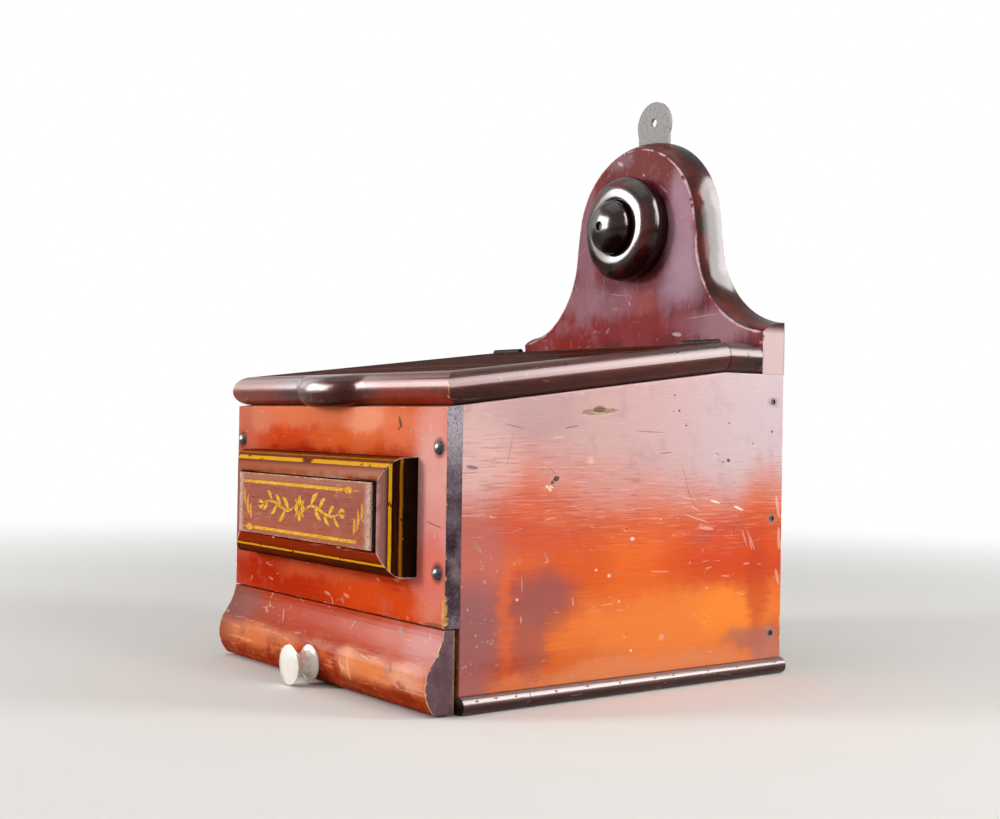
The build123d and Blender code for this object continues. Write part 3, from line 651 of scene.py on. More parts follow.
@dataclass(frozen=True)
class SideWood(Finish):
    """Side boards: orange-red stain below, faded varnish and a painted hazy reflection above, with pits,
    scratches and dark blots.
    """

    timber: Timber = Timber(Grain.ALONG_Y, "b6401a", "d9591f", "e8702c", fibre=0.8, ripple=0.05, rough=0.36)
    stains: tuple[Stain, ...] = (
        Stain((0, 30, 31), (FAR, 80, 19), "f0853a", 0.85),
        Stain((0, 10, 8), (FAR, 100, 9), "e58a58", 0.8),
        Stain((0, 6, 70), (FAR, 40, 25), "e8661c", 0.8),
        Stain((0, 64, 36), (FAR, 22, 11), "f88c2c", 0.7),
        Stain((0, -62, 82), (FAR, 42, 17), "cc5238", 0.7),
        Stain((0, -40, 90), (FAR, 24, 10), "e07048", 0.6),
        Stain((0, -34, 68), (FAR, 22, 15), "cf5020", 0.6),
        Stain((0, 66, 64), (FAR, 40, 15), "cf4216", 0.8),
        Stain((0, 88, 48), (FAR, 7, 24), "be3c1c", 0.6),
        Stain((0, -96, 66), (FAR, 22, 34), "b86a62", 0.75),
        Stain((0, -92, 36), (FAR, 20, 20), "925e5e", 0.85),
        Stain((0, -52, 49), (FAR, 18, 13), "925252", 0.8),
        Stain((0, -60, 32), (FAR, 10, 18), "9c5850", 0.7),
        Stain((0, -74, 42), (FAR, 4, 24), "ea6a30", 0.5),
        Stain((0, -98, 13), (FAR, 16, 8), "9c6464", 0.7),
        Stain((0, 86, 20.5), (FAR, 20, 5), "a8685e", 0.7),
        Stain((0, 98, 12), (FAR, 14, 6), "b07870", 0.6),
        Stain((0, 46, 72), (FAR, 8, 3), "b2504a", 0.5),
    )
    marks: tuple[Marks, ...] = (
        Marks(Face.SIDE, "7c5a54", 0.6, 0.1, (
            ((2.4, 124.4), (21.8, 123.8), 0.25), ((18.9, 113.6), (26.4, 114.3), 0.4),
            ((-41.0, 125.3), (-32.5, 126.7), 0.4),
            ((-75.0, 126.8), (-65.5, 125.4), 0.3), ((-70.5, 123.0), (-74.2, 107.4), 0.18),
            ((-51.0, 108.6), (-45.5, 103.6), 0.18), ((33.2, 109.6), (41.0, 87.0), 0.2),
            ((38.0, 96.0), (45.0, 84.0), 0.18),
        )),
        Marks(Face.SIDE, "eacdbc", 0.42, 0.08, (
            ((-47.5, 121.0), (-41.0, 121.6), 0.45), ((34.0, 92.6), (44.0, 91.0), 0.4),
            ((40.0, 88.0), (47.0, 85.0), 0.35),
            ((36.0, 84.0), (52.0, 79.6), 0.4), ((46.0, 77.4), (56.0, 76.2), 0.8),
            ((-104.0, 87.0), (-86.0, 86.6), 0.3),
            ((-34.6, 47.6), (-34.0, 43.4), 0.4), ((14.0, 57.0), (26.0, 56.4), 0.3),
            ((62.0, 52.4), (68.0, 52.0), 0.35),
            ((101.5, 92.0), (104.0, 80.0), 1.2), ((103.6, 76.0), (104.0, 64.0), 1.0),
            ((101.6, 54.0), (104.0, 46.0), 1.0),
        )),
        Marks(Face.SIDE, "f6e8d8", 0.85, 0.12, (
            ((53.8, 90.4), (60.4, 89.0), 0.6), ((70.4, 87.2), (77.0, 85.0), 0.65),
        )),
        Marks(Face.SIDE, "d2b3ad", 0.5, 0.15, (
            ((76.6, 75.0), (80.0, 67.0), 0.5), ((80.0, 75.0), (86.0, 64.5), 0.55),
            ((82.0, 70.0), (84.0, 64.5), 0.5),
            ((-64.5, 59.0), (-64.0, 51.6), 0.35), ((-64.6, 41.0), (-64.2, 37.6), 0.5),
        )),
        Marks(Face.SIDE, "9c847e", 0.4, 0.1, (
            ((-91.0, 76.0), (-86.6, 70.6), 1.1), ((-51.4, 69.4), (-49.6, 65.6), 0.8),
        )),
        Marks(Face.SIDE, "6a5458", 0.75, 0.04, (
            ((-96.0, 108.2), (-89.5, 107.4), 0.8),
        )),
        Pits(Face.SIDE, "4a3a28", 0.9, 0.4, (
            (-45.3, 102.3, 1.6), (-47.3, 100.6, 1.2), (31.4, 134.6, 0.7), (28.1, 142.0, 0.6),
            (36.1, 127.4, 0.6),
            (66.0, 128.9, 0.5), (65.9, 110.2, 1.1), (62.0, 109.4, 0.6), (83.5, 118.7, 0.6),
            (97.5, 124.9, 0.8),
        )),
        Pits(Face.SIDE, "f0d4bc", 0.85, 0.2, (
            (-48.4, 98.2, 1.5), (-50.6, 98.9, 0.9), (1.9, 73.2, 1.3), (-12.6, 56.4, 1.0), (-20.6, 59.4, 0.7),
            (20.0, 82.0, 0.5), (40.0, 60.0, 0.5), (52.0, 47.0, 0.5), (-6.0, 44.0, 0.6), (-66.8, 48.4, 0.8),
            (2.0, 20.0, 0.9),
        )),
    )
    brads: tuple[float, ...] = (21.0, 80.0, 140.3)
    brad_y: float = 98.2

    def dress(self, paint: Paint) -> bpy.types.Material:
        """Make the nodes of this finish.

        Args:
            paint: Material being made.

        Returns:
            The finished material.
        """
        coat = self.timber.lay(paint)
        where = paint.warped(Grain.ALONG_Y)
        for stain in self.stains:
            coat = stain.over(coat, where)
        coat = self.bloom_and_painted_sheen(paint, coat)
        coat = self.damaged(paint, coat)
        inside = abs(paint.x).smooth(HALF_WIDTH - 1.6, HALF_WIDTH - 2.2)
        coat = coat.covered(RAW_PINE.lay(paint), inside)
        return paint.finish(coat, gloss=0.08, gloss_roughness=0.22, specular=0.06)

    def bloom_and_painted_sheen(self, paint: Paint, coat: Coat) -> Coat:
        """Bloomed varnish and a painted hazy reflection of a softbox over the upper part, combed along the
        grain where it ends.

        Args:
            paint: Material being made.
            coat: Coat so far.

        Returns:
            The new coat.
        """
        combed = paint.noise(paint.squeezed((1.0, 0.06, 1.0), 7.0), 1.0, 4.0, 0.6)
        border = 104.0 - paint.y.smooth(-78.0, -4.0) * 14.0 - paint.y.smooth(10.0, 60.0) * 4.0
        border = border + paint.y.smooth(68.0, 92.0) * 9.0
        height = paint.z - border + (paint.clouds(24.0, 3.0) - 0.5) * 16.0 + (combed - 0.5) * 15.0
        coat = coat.tinted("c25b46", height.band(-16.0, 2.0, 8.0) * 0.4)
        # Painted reflection: the pale pink and grey tints that grow towards the top stand partly for bloomed
        # varnish and partly for a softbox's reflection in the varnish.
        coat = coat.tinted("cf948c", height.smooth(-11.0, 9.0) * 0.85)
        coat = coat.tinted("ccaaa8", height.smooth(4.0, 30.0) * 0.75)
        pale = paint.y.smooth(-20.0, 100.0) * height.smooth(2.0, 22.0)
        coat = coat.tinted("cfbcc2", pale * 0.8)
        rosy = paint.spot((0, -92, 112), (FAR, 24, 20), 1.2, 0.8)
        mauve_patch = paint.spot((0, -54, 132), (FAR, 24, 14), 1.2, 0.8)
        coat = coat.tinted("dcb4b0", rosy * 0.75).tinted("b28e90", mauve_patch * 0.5)
        shaded = (paint.clouds(13.0, 61.0, 4.0).smooth(0.5, 0.68)) * height.smooth(0.0, 20.0)
        coat = coat.tinted("a98a8e", shaded * 0.35)
        near = height.smooth(-34.0, -2.0) * (1.15 - height.smooth(2.0, 34.0))
        dark_lines = combed.smooth(0.53, 0.66) * near
        pale_lines = combed.smooth(0.46, 0.34) * near
        coat = coat.tinted("984e42", dark_lines * 0.42).tinted("e9c0b2", pale_lines * 0.3)
        return coat.sunk(0.14, combed * near).dulled(0.44, height.smooth(-6.0, 12.0))

    def damaged(self, paint: Paint, coat: Coat) -> Coat:
        """Pits, knots, pale scuffs, scratches and rust round the brads.

        Args:
            paint: Material being made.
            coat: Coat so far.

        Returns:
            The new coat.
        """
        knot = paint.stroke(Face.SIDE, (-31.0, 132.6), (-9.0, 134.0), 1.5, 1.5)
        eye = paint.stroke(Face.SIDE, (-23.5, 134.2), (-16.5, 134.6), 1.7, 1.0)
        coat = coat.tinted("8a6f4c", knot * 0.75).tinted("63502f", eye * 0.8).sunk(0.2, knot)
        for marks in self.marks:
            coat = marks.over(coat)
        cluster = paint.spot((0, -87, 43), (FAR, 10, 5), 0.5, 0.8)
        for y, z, length, height in ((-88, 31, 10, 5), (-83, 62, 5, 8), (-94, 20, 5, 3)):
            cluster = cluster.most(paint.spot((0, y, z), (FAR, length, height), 0.5, 0.8))
        dents = paint.dents(cluster, 2.3, 0.62)
        rims = paint.dents(cluster, 2.3, 0.95) * (1.0 - dents)
        coat = coat.tinted("caa09c", rims * 0.8).marked(dents, "6b3f40", 0.55, 0.3)
        coat = coat.marked(paint.scratches((1.0, 0.16, 1.0), 0.010, 23.0), "f0cfb4", 0.35, 0.04)
        coat = coat.marked(paint.flecks(7.0, 0.36, 0.42, 2.0), "f0d2b8", 0.55, 0.1)
        dark_specks = paint.flecks(10.0, 0.4, 0.4, 60.0) * paint.z.smooth(60.0, 110.0)
        coat = coat.marked(dark_specks, "5e4438", 0.75, 0.2)
        for z in self.brads:
            rust = paint.spot((0, self.brad_y, z), (FAR, 3.6, 2.4), 1.0, 0.9)
            hole = paint.spot((0, self.brad_y, z), (FAR, 1.7, 1.4), 0.3, 0.0)
            coat = coat.tinted("8f7a72", rust * 0.65).tinted("1c1512", hole)
        rear = (((HALF_WIDTH, WALL_Y, 0), (0, 0, 1)), ((-HALF_WIDTH, WALL_Y, 0), (0, 0, 1)))
        worn = paint.near_lines(rear, 1.7)
        return coat.tinted("e6cdc2", worn * 0.85).dulled(0.55, worn)


@dataclass(frozen=True)
class FrontWood(Finish):
    """Front panel: red stain, a painted hazy reflection beside the right arris and at the top left, with
    black end grain lightened at the top as a painted highlight.
    """

    timber: Timber = Timber(Grain.ALONG_X, "9a200a", "c03a12", "d45424", fibre=0.8, ripple=0.035, rough=0.36)
    stains: tuple[Stain, ...] = (
        Stain((0, 0, 131), (110, FAR, 8), "dc7a50", 0.75),
        # Painted reflection: this pinkish patch at the top left stands in for a hazy reflection.
        Stain((-84, 0, 126), (24, FAR, 14), "c9785c", 0.8),
        Stain((34, 0, 127), (18, FAR, 9), "f09a78", 0.75),
        Stain((-48, 0, 118), (40, FAR, 5), "c84218", 0.8),
        Stain((20, 0, 118), (40, FAR, 5), "de642e", 0.8),
        Stain((66, 0, 122), (20, FAR, 9), "e67850", 0.8),
        Stain((-92, 0, 90), (10, FAR, 60), "ac5a48", 0.6),
        Stain((-66, 0, 47), (40, FAR, 9), "a6240a", 0.85),
        Stain((-6, 0, 52), (44, FAR, 5), "c45430", 0.7),
        Stain((-16, 0, 44), (50, FAR, 5), "b42a08", 0.7),
        Stain((48, 0, 45), (44, FAR, 7), "d64814", 0.85),
        Stain((92, 0, 46), (16, FAR, 8), "d4643a", 0.8),
        # Painted reflection: the pale pink patches at x 90 to 92 stand in for a hazy reflection beside the
        # right arris.
        Stain((90, 0, 92), (17, FAR, 46), "da9088", 0.95),
        Stain((90, 0, 110), (14, FAR, 18), "e4a69e", 0.6),
        Stain((88, 0, 64), (12, FAR, 14), "d8604a", 0.6),
        Stain((92, 0, 128), (14, FAR, 8), "e09282", 0.7),
        Stain((0, -61, 19.2), (FAR, 8.5, 2.6), "6c4844", 0.7),
        Stain((0, -62.5, 14), (FAR, 2.2, 6), "74463e", 0.55),
    )
    marks: tuple[Marks, ...] = (
        Marks(Face.FRONT, "5e4c4a", 0.9, 0.3, (
            ((61.0, 129.4), (63.6, 124.4), 1.1), ((62.6, 125.4), (60.6, 123.4), 0.5),
        )),
        Marks(Face.FRONT, "dc9c84", 0.6, 0.08, (
            ((-4.0, 43.6), (2.0, 42.4), 0.8), ((14.6, 44.4), (20.0, 43.2), 0.9), ((2.6, 42.0),
            (5.6, 37.6), 0.5),
            ((84.6, 107.0), (89.6, 103.4), 0.8), ((44.0, 55.0), (47.0, 53.6), 0.5),
            ((-62.0, 45.0), (-57.0, 44.0), 0.5),
        )),
        Marks(Face.FRONT, "85503a", 0.7, 0.15, (
            ((84.0, 83.6), (97.0, 81.4), 0.3), ((84.0, 38.4), (100.0, 38.8), 1.3),
            ((-24.0, 116.0), (-20.0, 114.8), 1.0),
        )),
    )
    pin_x: float = 94.0
    pin_heights: tuple[float, ...] = (61.7, 116.1)

    def dress(self, paint: Paint) -> bpy.types.Material:
        """Make the nodes of this finish.

        Args:
            paint: Material being made.

        Returns:
            The finished material.
        """
        coat = self.timber.lay(paint)
        where = paint.warped(Grain.ALONG_X)
        for stain in self.stains:
            coat = stain.over(coat, where)
        smoke = paint.clouds(22.0, 14.0)
        coat = coat.tinted("c87460", smoke.smooth(0.54, 0.74) * 0.3)
        coat = self.worn(paint, coat)
        end = abs(paint.x).smooth(HALF_WIDTH - 0.5, HALF_WIDTH - 0.15)
        coat = coat.covered(self.end_grain(paint), end)
        between = abs(paint.x).smooth(INNER_HALF, INNER_HALF - 0.2)
        behind = paint.y.smooth(SIDE_FRONT_Y - 0.3, SIDE_FRONT_Y - 0.05) * between
        coat = coat.covered(RAW_PINE_ACROSS.lay(paint), behind)
        return paint.finish(coat, gloss=0.025, gloss_roughness=0.22, specular=0.0)

    def worn(self, paint: Paint, coat: Coat) -> Coat:
        """Pale scuffs, the dark dent at the top, rings round the pins and pale arrises.

        Args:
            paint: Material being made.
            coat: Coat so far.

        Returns:
            The new coat.
        """
        for marks in self.marks:
            coat = marks.over(coat)
        coat = coat.marked(paint.flecks(8.0, 0.4, 0.4, 4.0), "f0c8b0", 0.6, 0.08)
        dark = paint.flecks(11.0, 0.4, 0.4, 71.0)
        coat = coat.marked(dark, "5c2218", 0.6, 0.15)
        coat = coat.marked(paint.scratches((0.2, 1.0, 1.0), 0.012, 29.0), "eba98c", 0.4, 0.05)
        combed = paint.scratches((1.0, 1.0, 0.2), 0.010, 51.0) * paint.x.smooth(60.0, 96.0)
        coat = coat.tinted("ecc6bb", combed * 0.6)
        for side in (-self.pin_x, self.pin_x):
            for z in self.pin_heights:
                ring = paint.spot((side, 0, z), (4.6, FAR, 4.6), 0.5, 0.5)
                coat = coat.tinted("4a2620", ring * 0.6)
        upright, level = (0, 0, 1), (1, 0, 0)
        corners = ((HALF_WIDTH, FRONT_Y, 0), upright), ((-HALF_WIDTH, FRONT_Y, 0), upright)
        rims = ((0, FRONT_Y, FRONT_LOW_Z), level), ((0, FRONT_Y, FRONT_HIGH_Z), level)
        upper, lower = paint.near_lines(corners, 0.9), paint.near_lines(rims, 0.6)
        coat = coat.tinted("eed3c4", upper * 0.85).tinted("dfa98c", lower * 0.8)
        raw = paint.spot((100.5, -106, 45.0), (2.8, 4.0, 7.5), 0.5, 1.0)
        return coat.tinted("dfa45a", raw * 0.9).dulled(0.7, raw)

    @staticmethod
    def end_grain(paint: Paint) -> Coat:
        """Blackened end grain with a crackled, leathery relief, lightened towards the top as a painted
        highlight.

        Args:
            paint: Material being made.

        Returns:
            The new coat.
        """
        coat = END_GRAIN.lay(paint)
        crackle = paint.noise(paint.squeezed((1.0, 1.6, 0.8), 5.0), 1.1, 4.0, 0.7)
        coat = coat.sunk(0.16, crackle)
        # Painted highlight: the grey-mauve tints lighten the end grain towards the top.
        coat = coat.tinted("8d8590", paint.z.smooth(70.0, 140.0) * crackle.smooth(0.35, 0.65) * 0.6)
        coat = coat.tinted("c6bac4", paint.z.smooth(98.0, 128.0) * crackle.smooth(0.30, 0.55) * 0.75)
        worn = paint.flecks(9.0, 0.5, 0.5, 13.0)
        return coat.tinted("8a7a78", worn * 0.8)


@dataclass(frozen=True)
class DrawerWood(Finish):
    """Drawer front: red in the hollow, pale along the belly from rubbing and from a painted highlight, tan
    where the end has chipped.
    """

    timber: Timber = Timber(Grain.ALONG_X, "861e08", "ac3a18", "c25230", fibre=0.9, ripple=0.03, rough=0.36)
    belly_z: float = 13.5
    stains: tuple[Stain, ...] = (
        Stain((-62, 0, 15.5), (42, FAR, 5), "d67e50", 0.8),
        Stain((-84, 0, 28), (20, FAR, 9), "845048", 0.8),
        Stain((-50, 0, 27), (20, FAR, 5), "9c3e26", 0.6),
        Stain((-8, 0, 30), (42, FAR, 8), "b83814", 0.8),
        # Painted highlight: the pale patches along the belly, near z 14, are partly rubbed wear and partly a
        # highlight on the rounded belly.
        Stain((34, 0, 14), (8, FAR, 8), "ec9c72", 0.85),
        Stain((58, 0, 14), (26, FAR, 6), "ea8c56", 0.85),
        Stain((86, 0, 15), (14, FAR, 6), "e6a286", 0.85),
        Stain((20, 0, 5), (90, FAR, 5), "9c3412", 0.7),
        Stain((40, 0, 30), (26, FAR, 7), "c04e30", 0.7),
        Stain((68, 0, 31), (22, FAR, 7), "c86650", 0.8),
        Stain((90, 0, 29), (14, FAR, 10), "c8807a", 0.85),
    )
    marks: tuple[Marks, ...] = (
        Marks(Face.FRONT, "e6b090", 0.6, 0.1, (
            ((26.0, 14.6), (33.0, 11.6), 0.8), ((27.0, 17.6), (30.0, 10.0), 0.7),
            ((33.6, 19.0), (36.6, 7.0), 0.9),
            ((44.0, 20.0), (52.0, 19.0), 0.5), ((74.0, 12.0), (79.0, 10.6), 0.6),
        )),
        Marks(Face.FRONT, "d79a84", 0.7, 0.06, (
            ((-42.0, 31.0), (-37.0, 25.0), 0.5), ((-60.0, 29.0), (-56.0, 27.4), 0.6),
            ((27.6, 33.6), (25.6, 29.6), 0.4),
        )),
        Marks(Face.FRONT, "a48c8c", 0.6, 0.05, (
            ((66.6, 18.0), (71.6, 15.6), 1.3), ((64.6, 34.6), (68.6, 32.0), 1.6),
        )),
        Marks(Face.FRONT, "5d4a50", 0.7, 0.15, (((70.6, 20.0), (71.6, 16.6), 0.6),)),
    )

    def dress(self, paint: Paint) -> bpy.types.Material:
        """Make the nodes of this finish.

        Args:
            paint: Material being made.

        Returns:
            The finished material.
        """
        coat = self.timber.lay(paint)
        streaks = paint.noise(paint.squeezed((0.12, 1.0, 1.0), 9.0), 0.35, 5.0, 0.65)
        patches = paint.clouds(17.0, 33.0, 4.0)
        rubbed = paint.spot((0, 0, self.belly_z), (FAR, FAR, 9.0), 1.1, 0.7)
        where = paint.warped(Grain.ALONG_X, 5.0, 7.0)
        for stain in self.stains:
            coat = stain.over(coat, where)
        # The pale tints along the belly stand partly for rubbed wear and partly for a painted highlight.
        coat = coat.tinted("d0703e", rubbed * patches.smooth(0.42, 0.64) * 0.5)
        coat = coat.tinted("e8a880", rubbed * streaks.smooth(0.53, 0.68) * 0.6)
        coat = coat.tinted("8c2008", patches.smooth(0.47, 0.36) * paint.z.smooth(22.0, 10.0) * 0.6)
        coat = coat.tinted("6e4440", paint.x.smooth(-78.0, -99.0) * 0.6)
        low = paint.z.smooth(11.0, 6.0) * paint.clouds(12.0, 31.0, 4.0).smooth(0.34, 0.54)
        coat = coat.tinted("8a2a0a", low * 0.75)
        for marks in self.marks:
            coat = marks.over(coat)
        coat = coat.marked(paint.flecks(5.5, 0.4, 0.42, 44.0), "e9bfa0", 0.6, 0.1)
        coat = coat.marked(paint.scratches((0.3, 1.0, 1.0), 0.016, 63.0), "e6b398", 0.5, 0.05)
        cross = paint.scratches((1.0, 0.3, 0.3), 0.010, 83.0)
        coat = coat.tinted("dba58e", cross * 0.5)
        arris = abs(paint.x) * -1.0 + HALF_WIDTH
        chipped = paint.worn_edge(arris, 1.7)
        coat = coat.tinted("dba765", chipped * 0.95).dulled(0.65, chipped)
        pale = paint.worn_edge(arris, 0.8)
        coat = coat.tinted("f0dcc8", pale * 0.6)
        foot = paint.near_lines((((0, -112.5, 1.3), (1, 0, 0)),), 1.3)
        coat = coat.tinted("3b1a14", foot * 0.7)
        end = abs(paint.x).smooth(HALF_WIDTH - 0.12, HALF_WIDTH - 0.04)
        dark_end = END_GRAIN.lay(paint).tinted("75575c", 0.5)
        coat = coat.covered(dark_end, end)
        behind = paint.y.smooth(-101.6, -101.2)
        coat = coat.covered(RAW_PINE_ACROSS.lay(paint), behind)
        return paint.finish(coat, gloss=0.06, gloss_roughness=0.22, specular=0.0)


@dataclass(frozen=True)
class LidWood(Finish):
    """Lid, its mouldings and the rail: near-black polish, rubbed red along the front."""

    timber: Timber = Timber(Grain.ALONG_Y, "1a0806", "2e100b", "461a10", ripple=0.022, rough=0.34)
    rubbed_front: float = 0.0
    gloss: float = 0.3
    specular: float = 0.1
    underside: bool = True

    def dress(self, paint: Paint) -> bpy.types.Material:
        """Make the nodes of this finish.

        Args:
            paint: Material being made.

        Returns:
            The finished material.
        """
        coat = self.timber.lay(paint)
        blotch = paint.clouds(15.0, 22.0, 4.0)
        coat = coat.tinted("521709", blotch.smooth(0.48, 0.68) * 0.5)
        if self.rubbed_front:
            coat = self.rubbed(paint, coat, blotch)
        coat = coat.marked(paint.flecks(5.0, 0.38, 0.34, 91.0), "a9764e", 0.7, 0.12)
        coat = coat.marked(paint.scratches((1.0, 0.2, 0.6), 0.012, 37.0), "8c6a5c", 0.5, 0.06)
        dents = paint.flecks(14.0, 1.0, 0.4, 7.0)
        coat = coat.sunk(0.25, dents).tinted("120807", dents * 0.6)
        if self.underside:
            top = (paint.y - RAIL_FRONT_Y) * math.tan(LID_SLOPE) + RAIL_TOP
            below = (top - paint.z).smooth(LID_THICKNESS - 0.35, LID_THICKNESS - 0.05)
            reach = paint.y.smooth(SIDE_FRONT_Y - 2.0, SIDE_FRONT_Y + 2.0) * abs(paint.x).smooth(90.0, 86.0)
            coat = coat.covered(RAW_PINE_ACROSS.lay(paint).tinted("6d4630", 0.5), below * reach)
        polish: Value = self.gloss
        if self.rubbed_front:
            polish = self.handled(paint) * (-0.8 * self.gloss) + self.gloss
        return paint.finish(coat, gloss=polish, gloss_roughness=0.2, specular=self.specular, tint="e09a92")

    @staticmethod
    def handled(paint: Paint) -> Sock:
        """Mask of the front's two ends, left and right of the lifting knob."""
        return paint.x.smooth(12.0, 60.0) * 0.85 + paint.x.smooth(-30.0, -80.0) * 0.7

    def rubbed(self, paint: Paint, coat: Coat, blotch: Sock) -> Coat:
        """Red wood showing where hands have rubbed the polish away.

        Args:
            paint: Material being made.
            coat: Coat so far.
            blotch: Clouds that break the red up.

        Returns:
            The new coat.
        """
        reach = self.handled(paint)
        low = paint.z.smooth(150.0, 134.5)
        coat = coat.tinted("6a2418", reach * 0.6)
        coat = coat.tinted("962c0c", reach * low * blotch.smooth(0.38, 0.55) * self.rubbed_front)
        coat = coat.tinted("7a4034", paint.x.smooth(-50.0, -95.0) * 0.35)
        corner = paint.near_lines((((LID_HALF, LID_FRONT_Y, 0), (0, 0, 1)),), 2.6)
        coat = coat.tinted("c4763f", corner * 0.8)
        rim = paint.near_lines((((0, -101.5, 149.8), (1, 0, 0)),), 1.6)
        return coat.tinted("b98150", rim * 0.55)


@dataclass(frozen=True)
class CrestWood(Finish):
    """Back board: red-purple face with a painted hazy reflection on its right, dark rounded edge, pale front
    arris and a raw rear.
    """

    timber: Timber = Timber(Grain.ALONG_Z, "541a1e", "762c30", "8c3e42", ripple=0.03, rough=0.36)
    sweep_x: float = 103.7
    sweep_z: float = 230.0
    sweep_radius: float = 54.0
    stains: tuple[Stain, ...] = (
        Stain((-58, 0, 182), (34, FAR, 12), "8a1e14", 0.9),
        Stain((-86, 0, 179), (18, FAR, 8), "8f3a34", 0.6),
        Stain((4, 0, 183), (40, FAR, 9), "92282a", 0.8),
        Stain((-18, 0, 197), (26, FAR, 8), "a46a74", 0.7),
        Stain((12, 0, 196), (14, FAR, 6), "b04e4e", 0.6),
        # Painted reflection: the pale bluish-mauve patches on the right, here and at x 72 below, stand in
        # for a hazy reflection.
        Stain((38, 0, 208), (16, FAR, 14), "b490a0", 0.8),
        Stain((38, 0, 235), (10, FAR, 34), "b48c9c", 0.85),
        Stain((-42, 0, 232), (9, FAR, 34), "9a6876", 0.7),
        Stain((-47, 0, 200), (18, FAR, 10), "9e6a74", 0.7),
        Stain((8, 0, 276), (34, FAR, 10), "76322e", 0.75),
        Stain((-12, 0, 278), (10, FAR, 5), "93707a", 0.6),
        Stain((-10, 0, 209), (34, FAR, 5), "7c3a42", 0.6),
        Stain((72, 0, 182), (26, FAR, 9), "ac7c86", 0.85),
        Stain((44, 0, 181), (14, FAR, 7), "8e525a", 0.6),
    )
    marks: tuple[Marks, ...] = (
        Marks(Face.FRONT, "c39694", 0.7, 0.06, (
            ((43.0, 185.6), (72.0, 187.6), 0.35), ((-20.0, 203.0), (-6.0, 201.0), 0.3),
            ((20.0, 262.0), (28.0, 256.0), 0.3),
        )),
        Marks(Face.FRONT, "cfb0b4", 0.8, 0.1, (
            ((-15.0, 279.0), (-10.0, 276.6), 1.2), ((7.0, 269.6), (8.2, 268.0), 0.7),
            ((-3.4, 197.8), (-2.4, 195.4), 0.7),
            ((32.6, 177.8), (40.0, 177.0), 1.1),
        )),
    )

    def dress(self, paint: Paint) -> bpy.types.Material:
        """Make the nodes of this finish.

        Args:
            paint: Material being made.

        Returns:
            The finished material.
        """
        coat = self.timber.lay(paint)
        where = paint.warped(Grain.ALONG_Z, 8.0, 4.0)
        for stain in self.stains:
            coat = stain.over(coat, where)
        coat = coat.tinted("a87c8c", paint.clouds(20.0, 5.0, 4.0).smooth(0.52, 0.72) * 0.4)
        for marks in self.marks:
            coat = marks.over(coat)
        specks = paint.flecks(7.0, 0.42, 0.38, 12.0)
        coat = coat.marked(specks, "d9b8b4", 0.6, 0.1)
        strokes = paint.scratches((1.0, 1.0, 0.25), 0.012, 77.0)
        strokes = strokes + paint.scratches((0.3, 1.0, 1.0), 0.010, 19.0)
        coat = coat.marked(strokes, "c99fa2", 0.45, 0.05)
        edge = paint.y.smooth(BACK_FACE_Y + 0.5, BACK_FACE_Y + 1.1)
        coat = coat.covered(self.rounded_edge(paint), edge)
        # The pale line along the front arris is partly wear and partly a painted highlight.
        coat = coat.tinted("e0c0bc", self.front_arris(paint) * 0.8)
        # Painted reflection: each ear's end face is tinted pale pink for a softbox's reflection; the dark
        # specks on it are wear.
        ear = abs(paint.x).smooth(HALF_WIDTH - 0.3, HALF_WIDTH - 0.05) * paint.z.smooth(180.0, 175.0)
        coat = coat.tinted("dcbfc0", ear * 0.9).tinted("8a5c58", ear * specks)
        rear = paint.y.smooth(WALL_Y - 0.5, WALL_Y - 0.1)
        inner = paint.z.smooth(SIDE_HEIGHT + 0.5, SIDE_HEIGHT - 0.5)
        inner = inner * paint.y.smooth(BACK_FACE_Y + 0.4, BACK_FACE_Y)
        coat = coat.covered(RAW_PINE_UPRIGHT.lay(paint), rear.most(inner))
        return paint.finish(coat, gloss=edge * 0.42 + 0.015, gloss_roughness=0.17, specular=0.0)

    def rounded_edge(self, paint: Paint) -> Coat:
        """Dark polish on the edge behind the arris.

        Args:
            paint: Material being made.

        Returns:
            The new coat.
        """
        wood = Timber(Grain.ALONG_Z, "1c0b0a", "32120f", "4e1a14", ripple=0.03, rough=0.28)
        coat = wood.lay(paint)
        glow = paint.y.band(92.0, 96.5, 2.0) * paint.clouds(20.0, 66.0).smooth(0.40, 0.62)
        coat = coat.tinted("7c2418", glow * 0.6)
        return coat.marked(paint.flecks(6.0, 0.4, 0.4, 51.0), "b08e84", 0.6, 0.12)

    def front_arris(self, paint: Paint) -> Sock:
        """Broken pale line along the outline of the front face, partly a worn arris and partly a painted
        highlight on it.

        Args:
            paint: Material being made.

        Returns:
            The value or mask.
        """
        beside = self.ring(paint, (0.0, CREST_CENTRE_Z), CREST_RADIUS)
        mirrored = self.ring(paint, (self.sweep_x, self.sweep_z), self.sweep_radius)
        above = paint.z.smooth(CREST_CENTRE_Z - 4.0, CREST_CENTRE_Z + 4.0)
        distance = mirrored + (beside - mirrored) * above
        front = paint.y.smooth(BACK_FACE_Y + 1.3, BACK_FACE_Y + 0.3)
        return paint.worn_edge(distance, 1.3) * front * paint.z.smooth(SIDE_HEIGHT + 16, SIDE_HEIGHT + 18)

    @staticmethod
    def ring(paint: Paint, centre: Pair, radius: float) -> Sock:
        """Distance from a circle on the face, mirrored about the middle.

        Args:
            paint: Material being made.
            centre: Middle of the circle, aside and up.
            radius: Its radius.

        Returns:
            The value or mask.
        """
        aside = abs(paint.x) - centre[0]
        up = paint.z - centre[1]
        reach = (aside * aside + up * up).root()
        return abs(reach - radius)


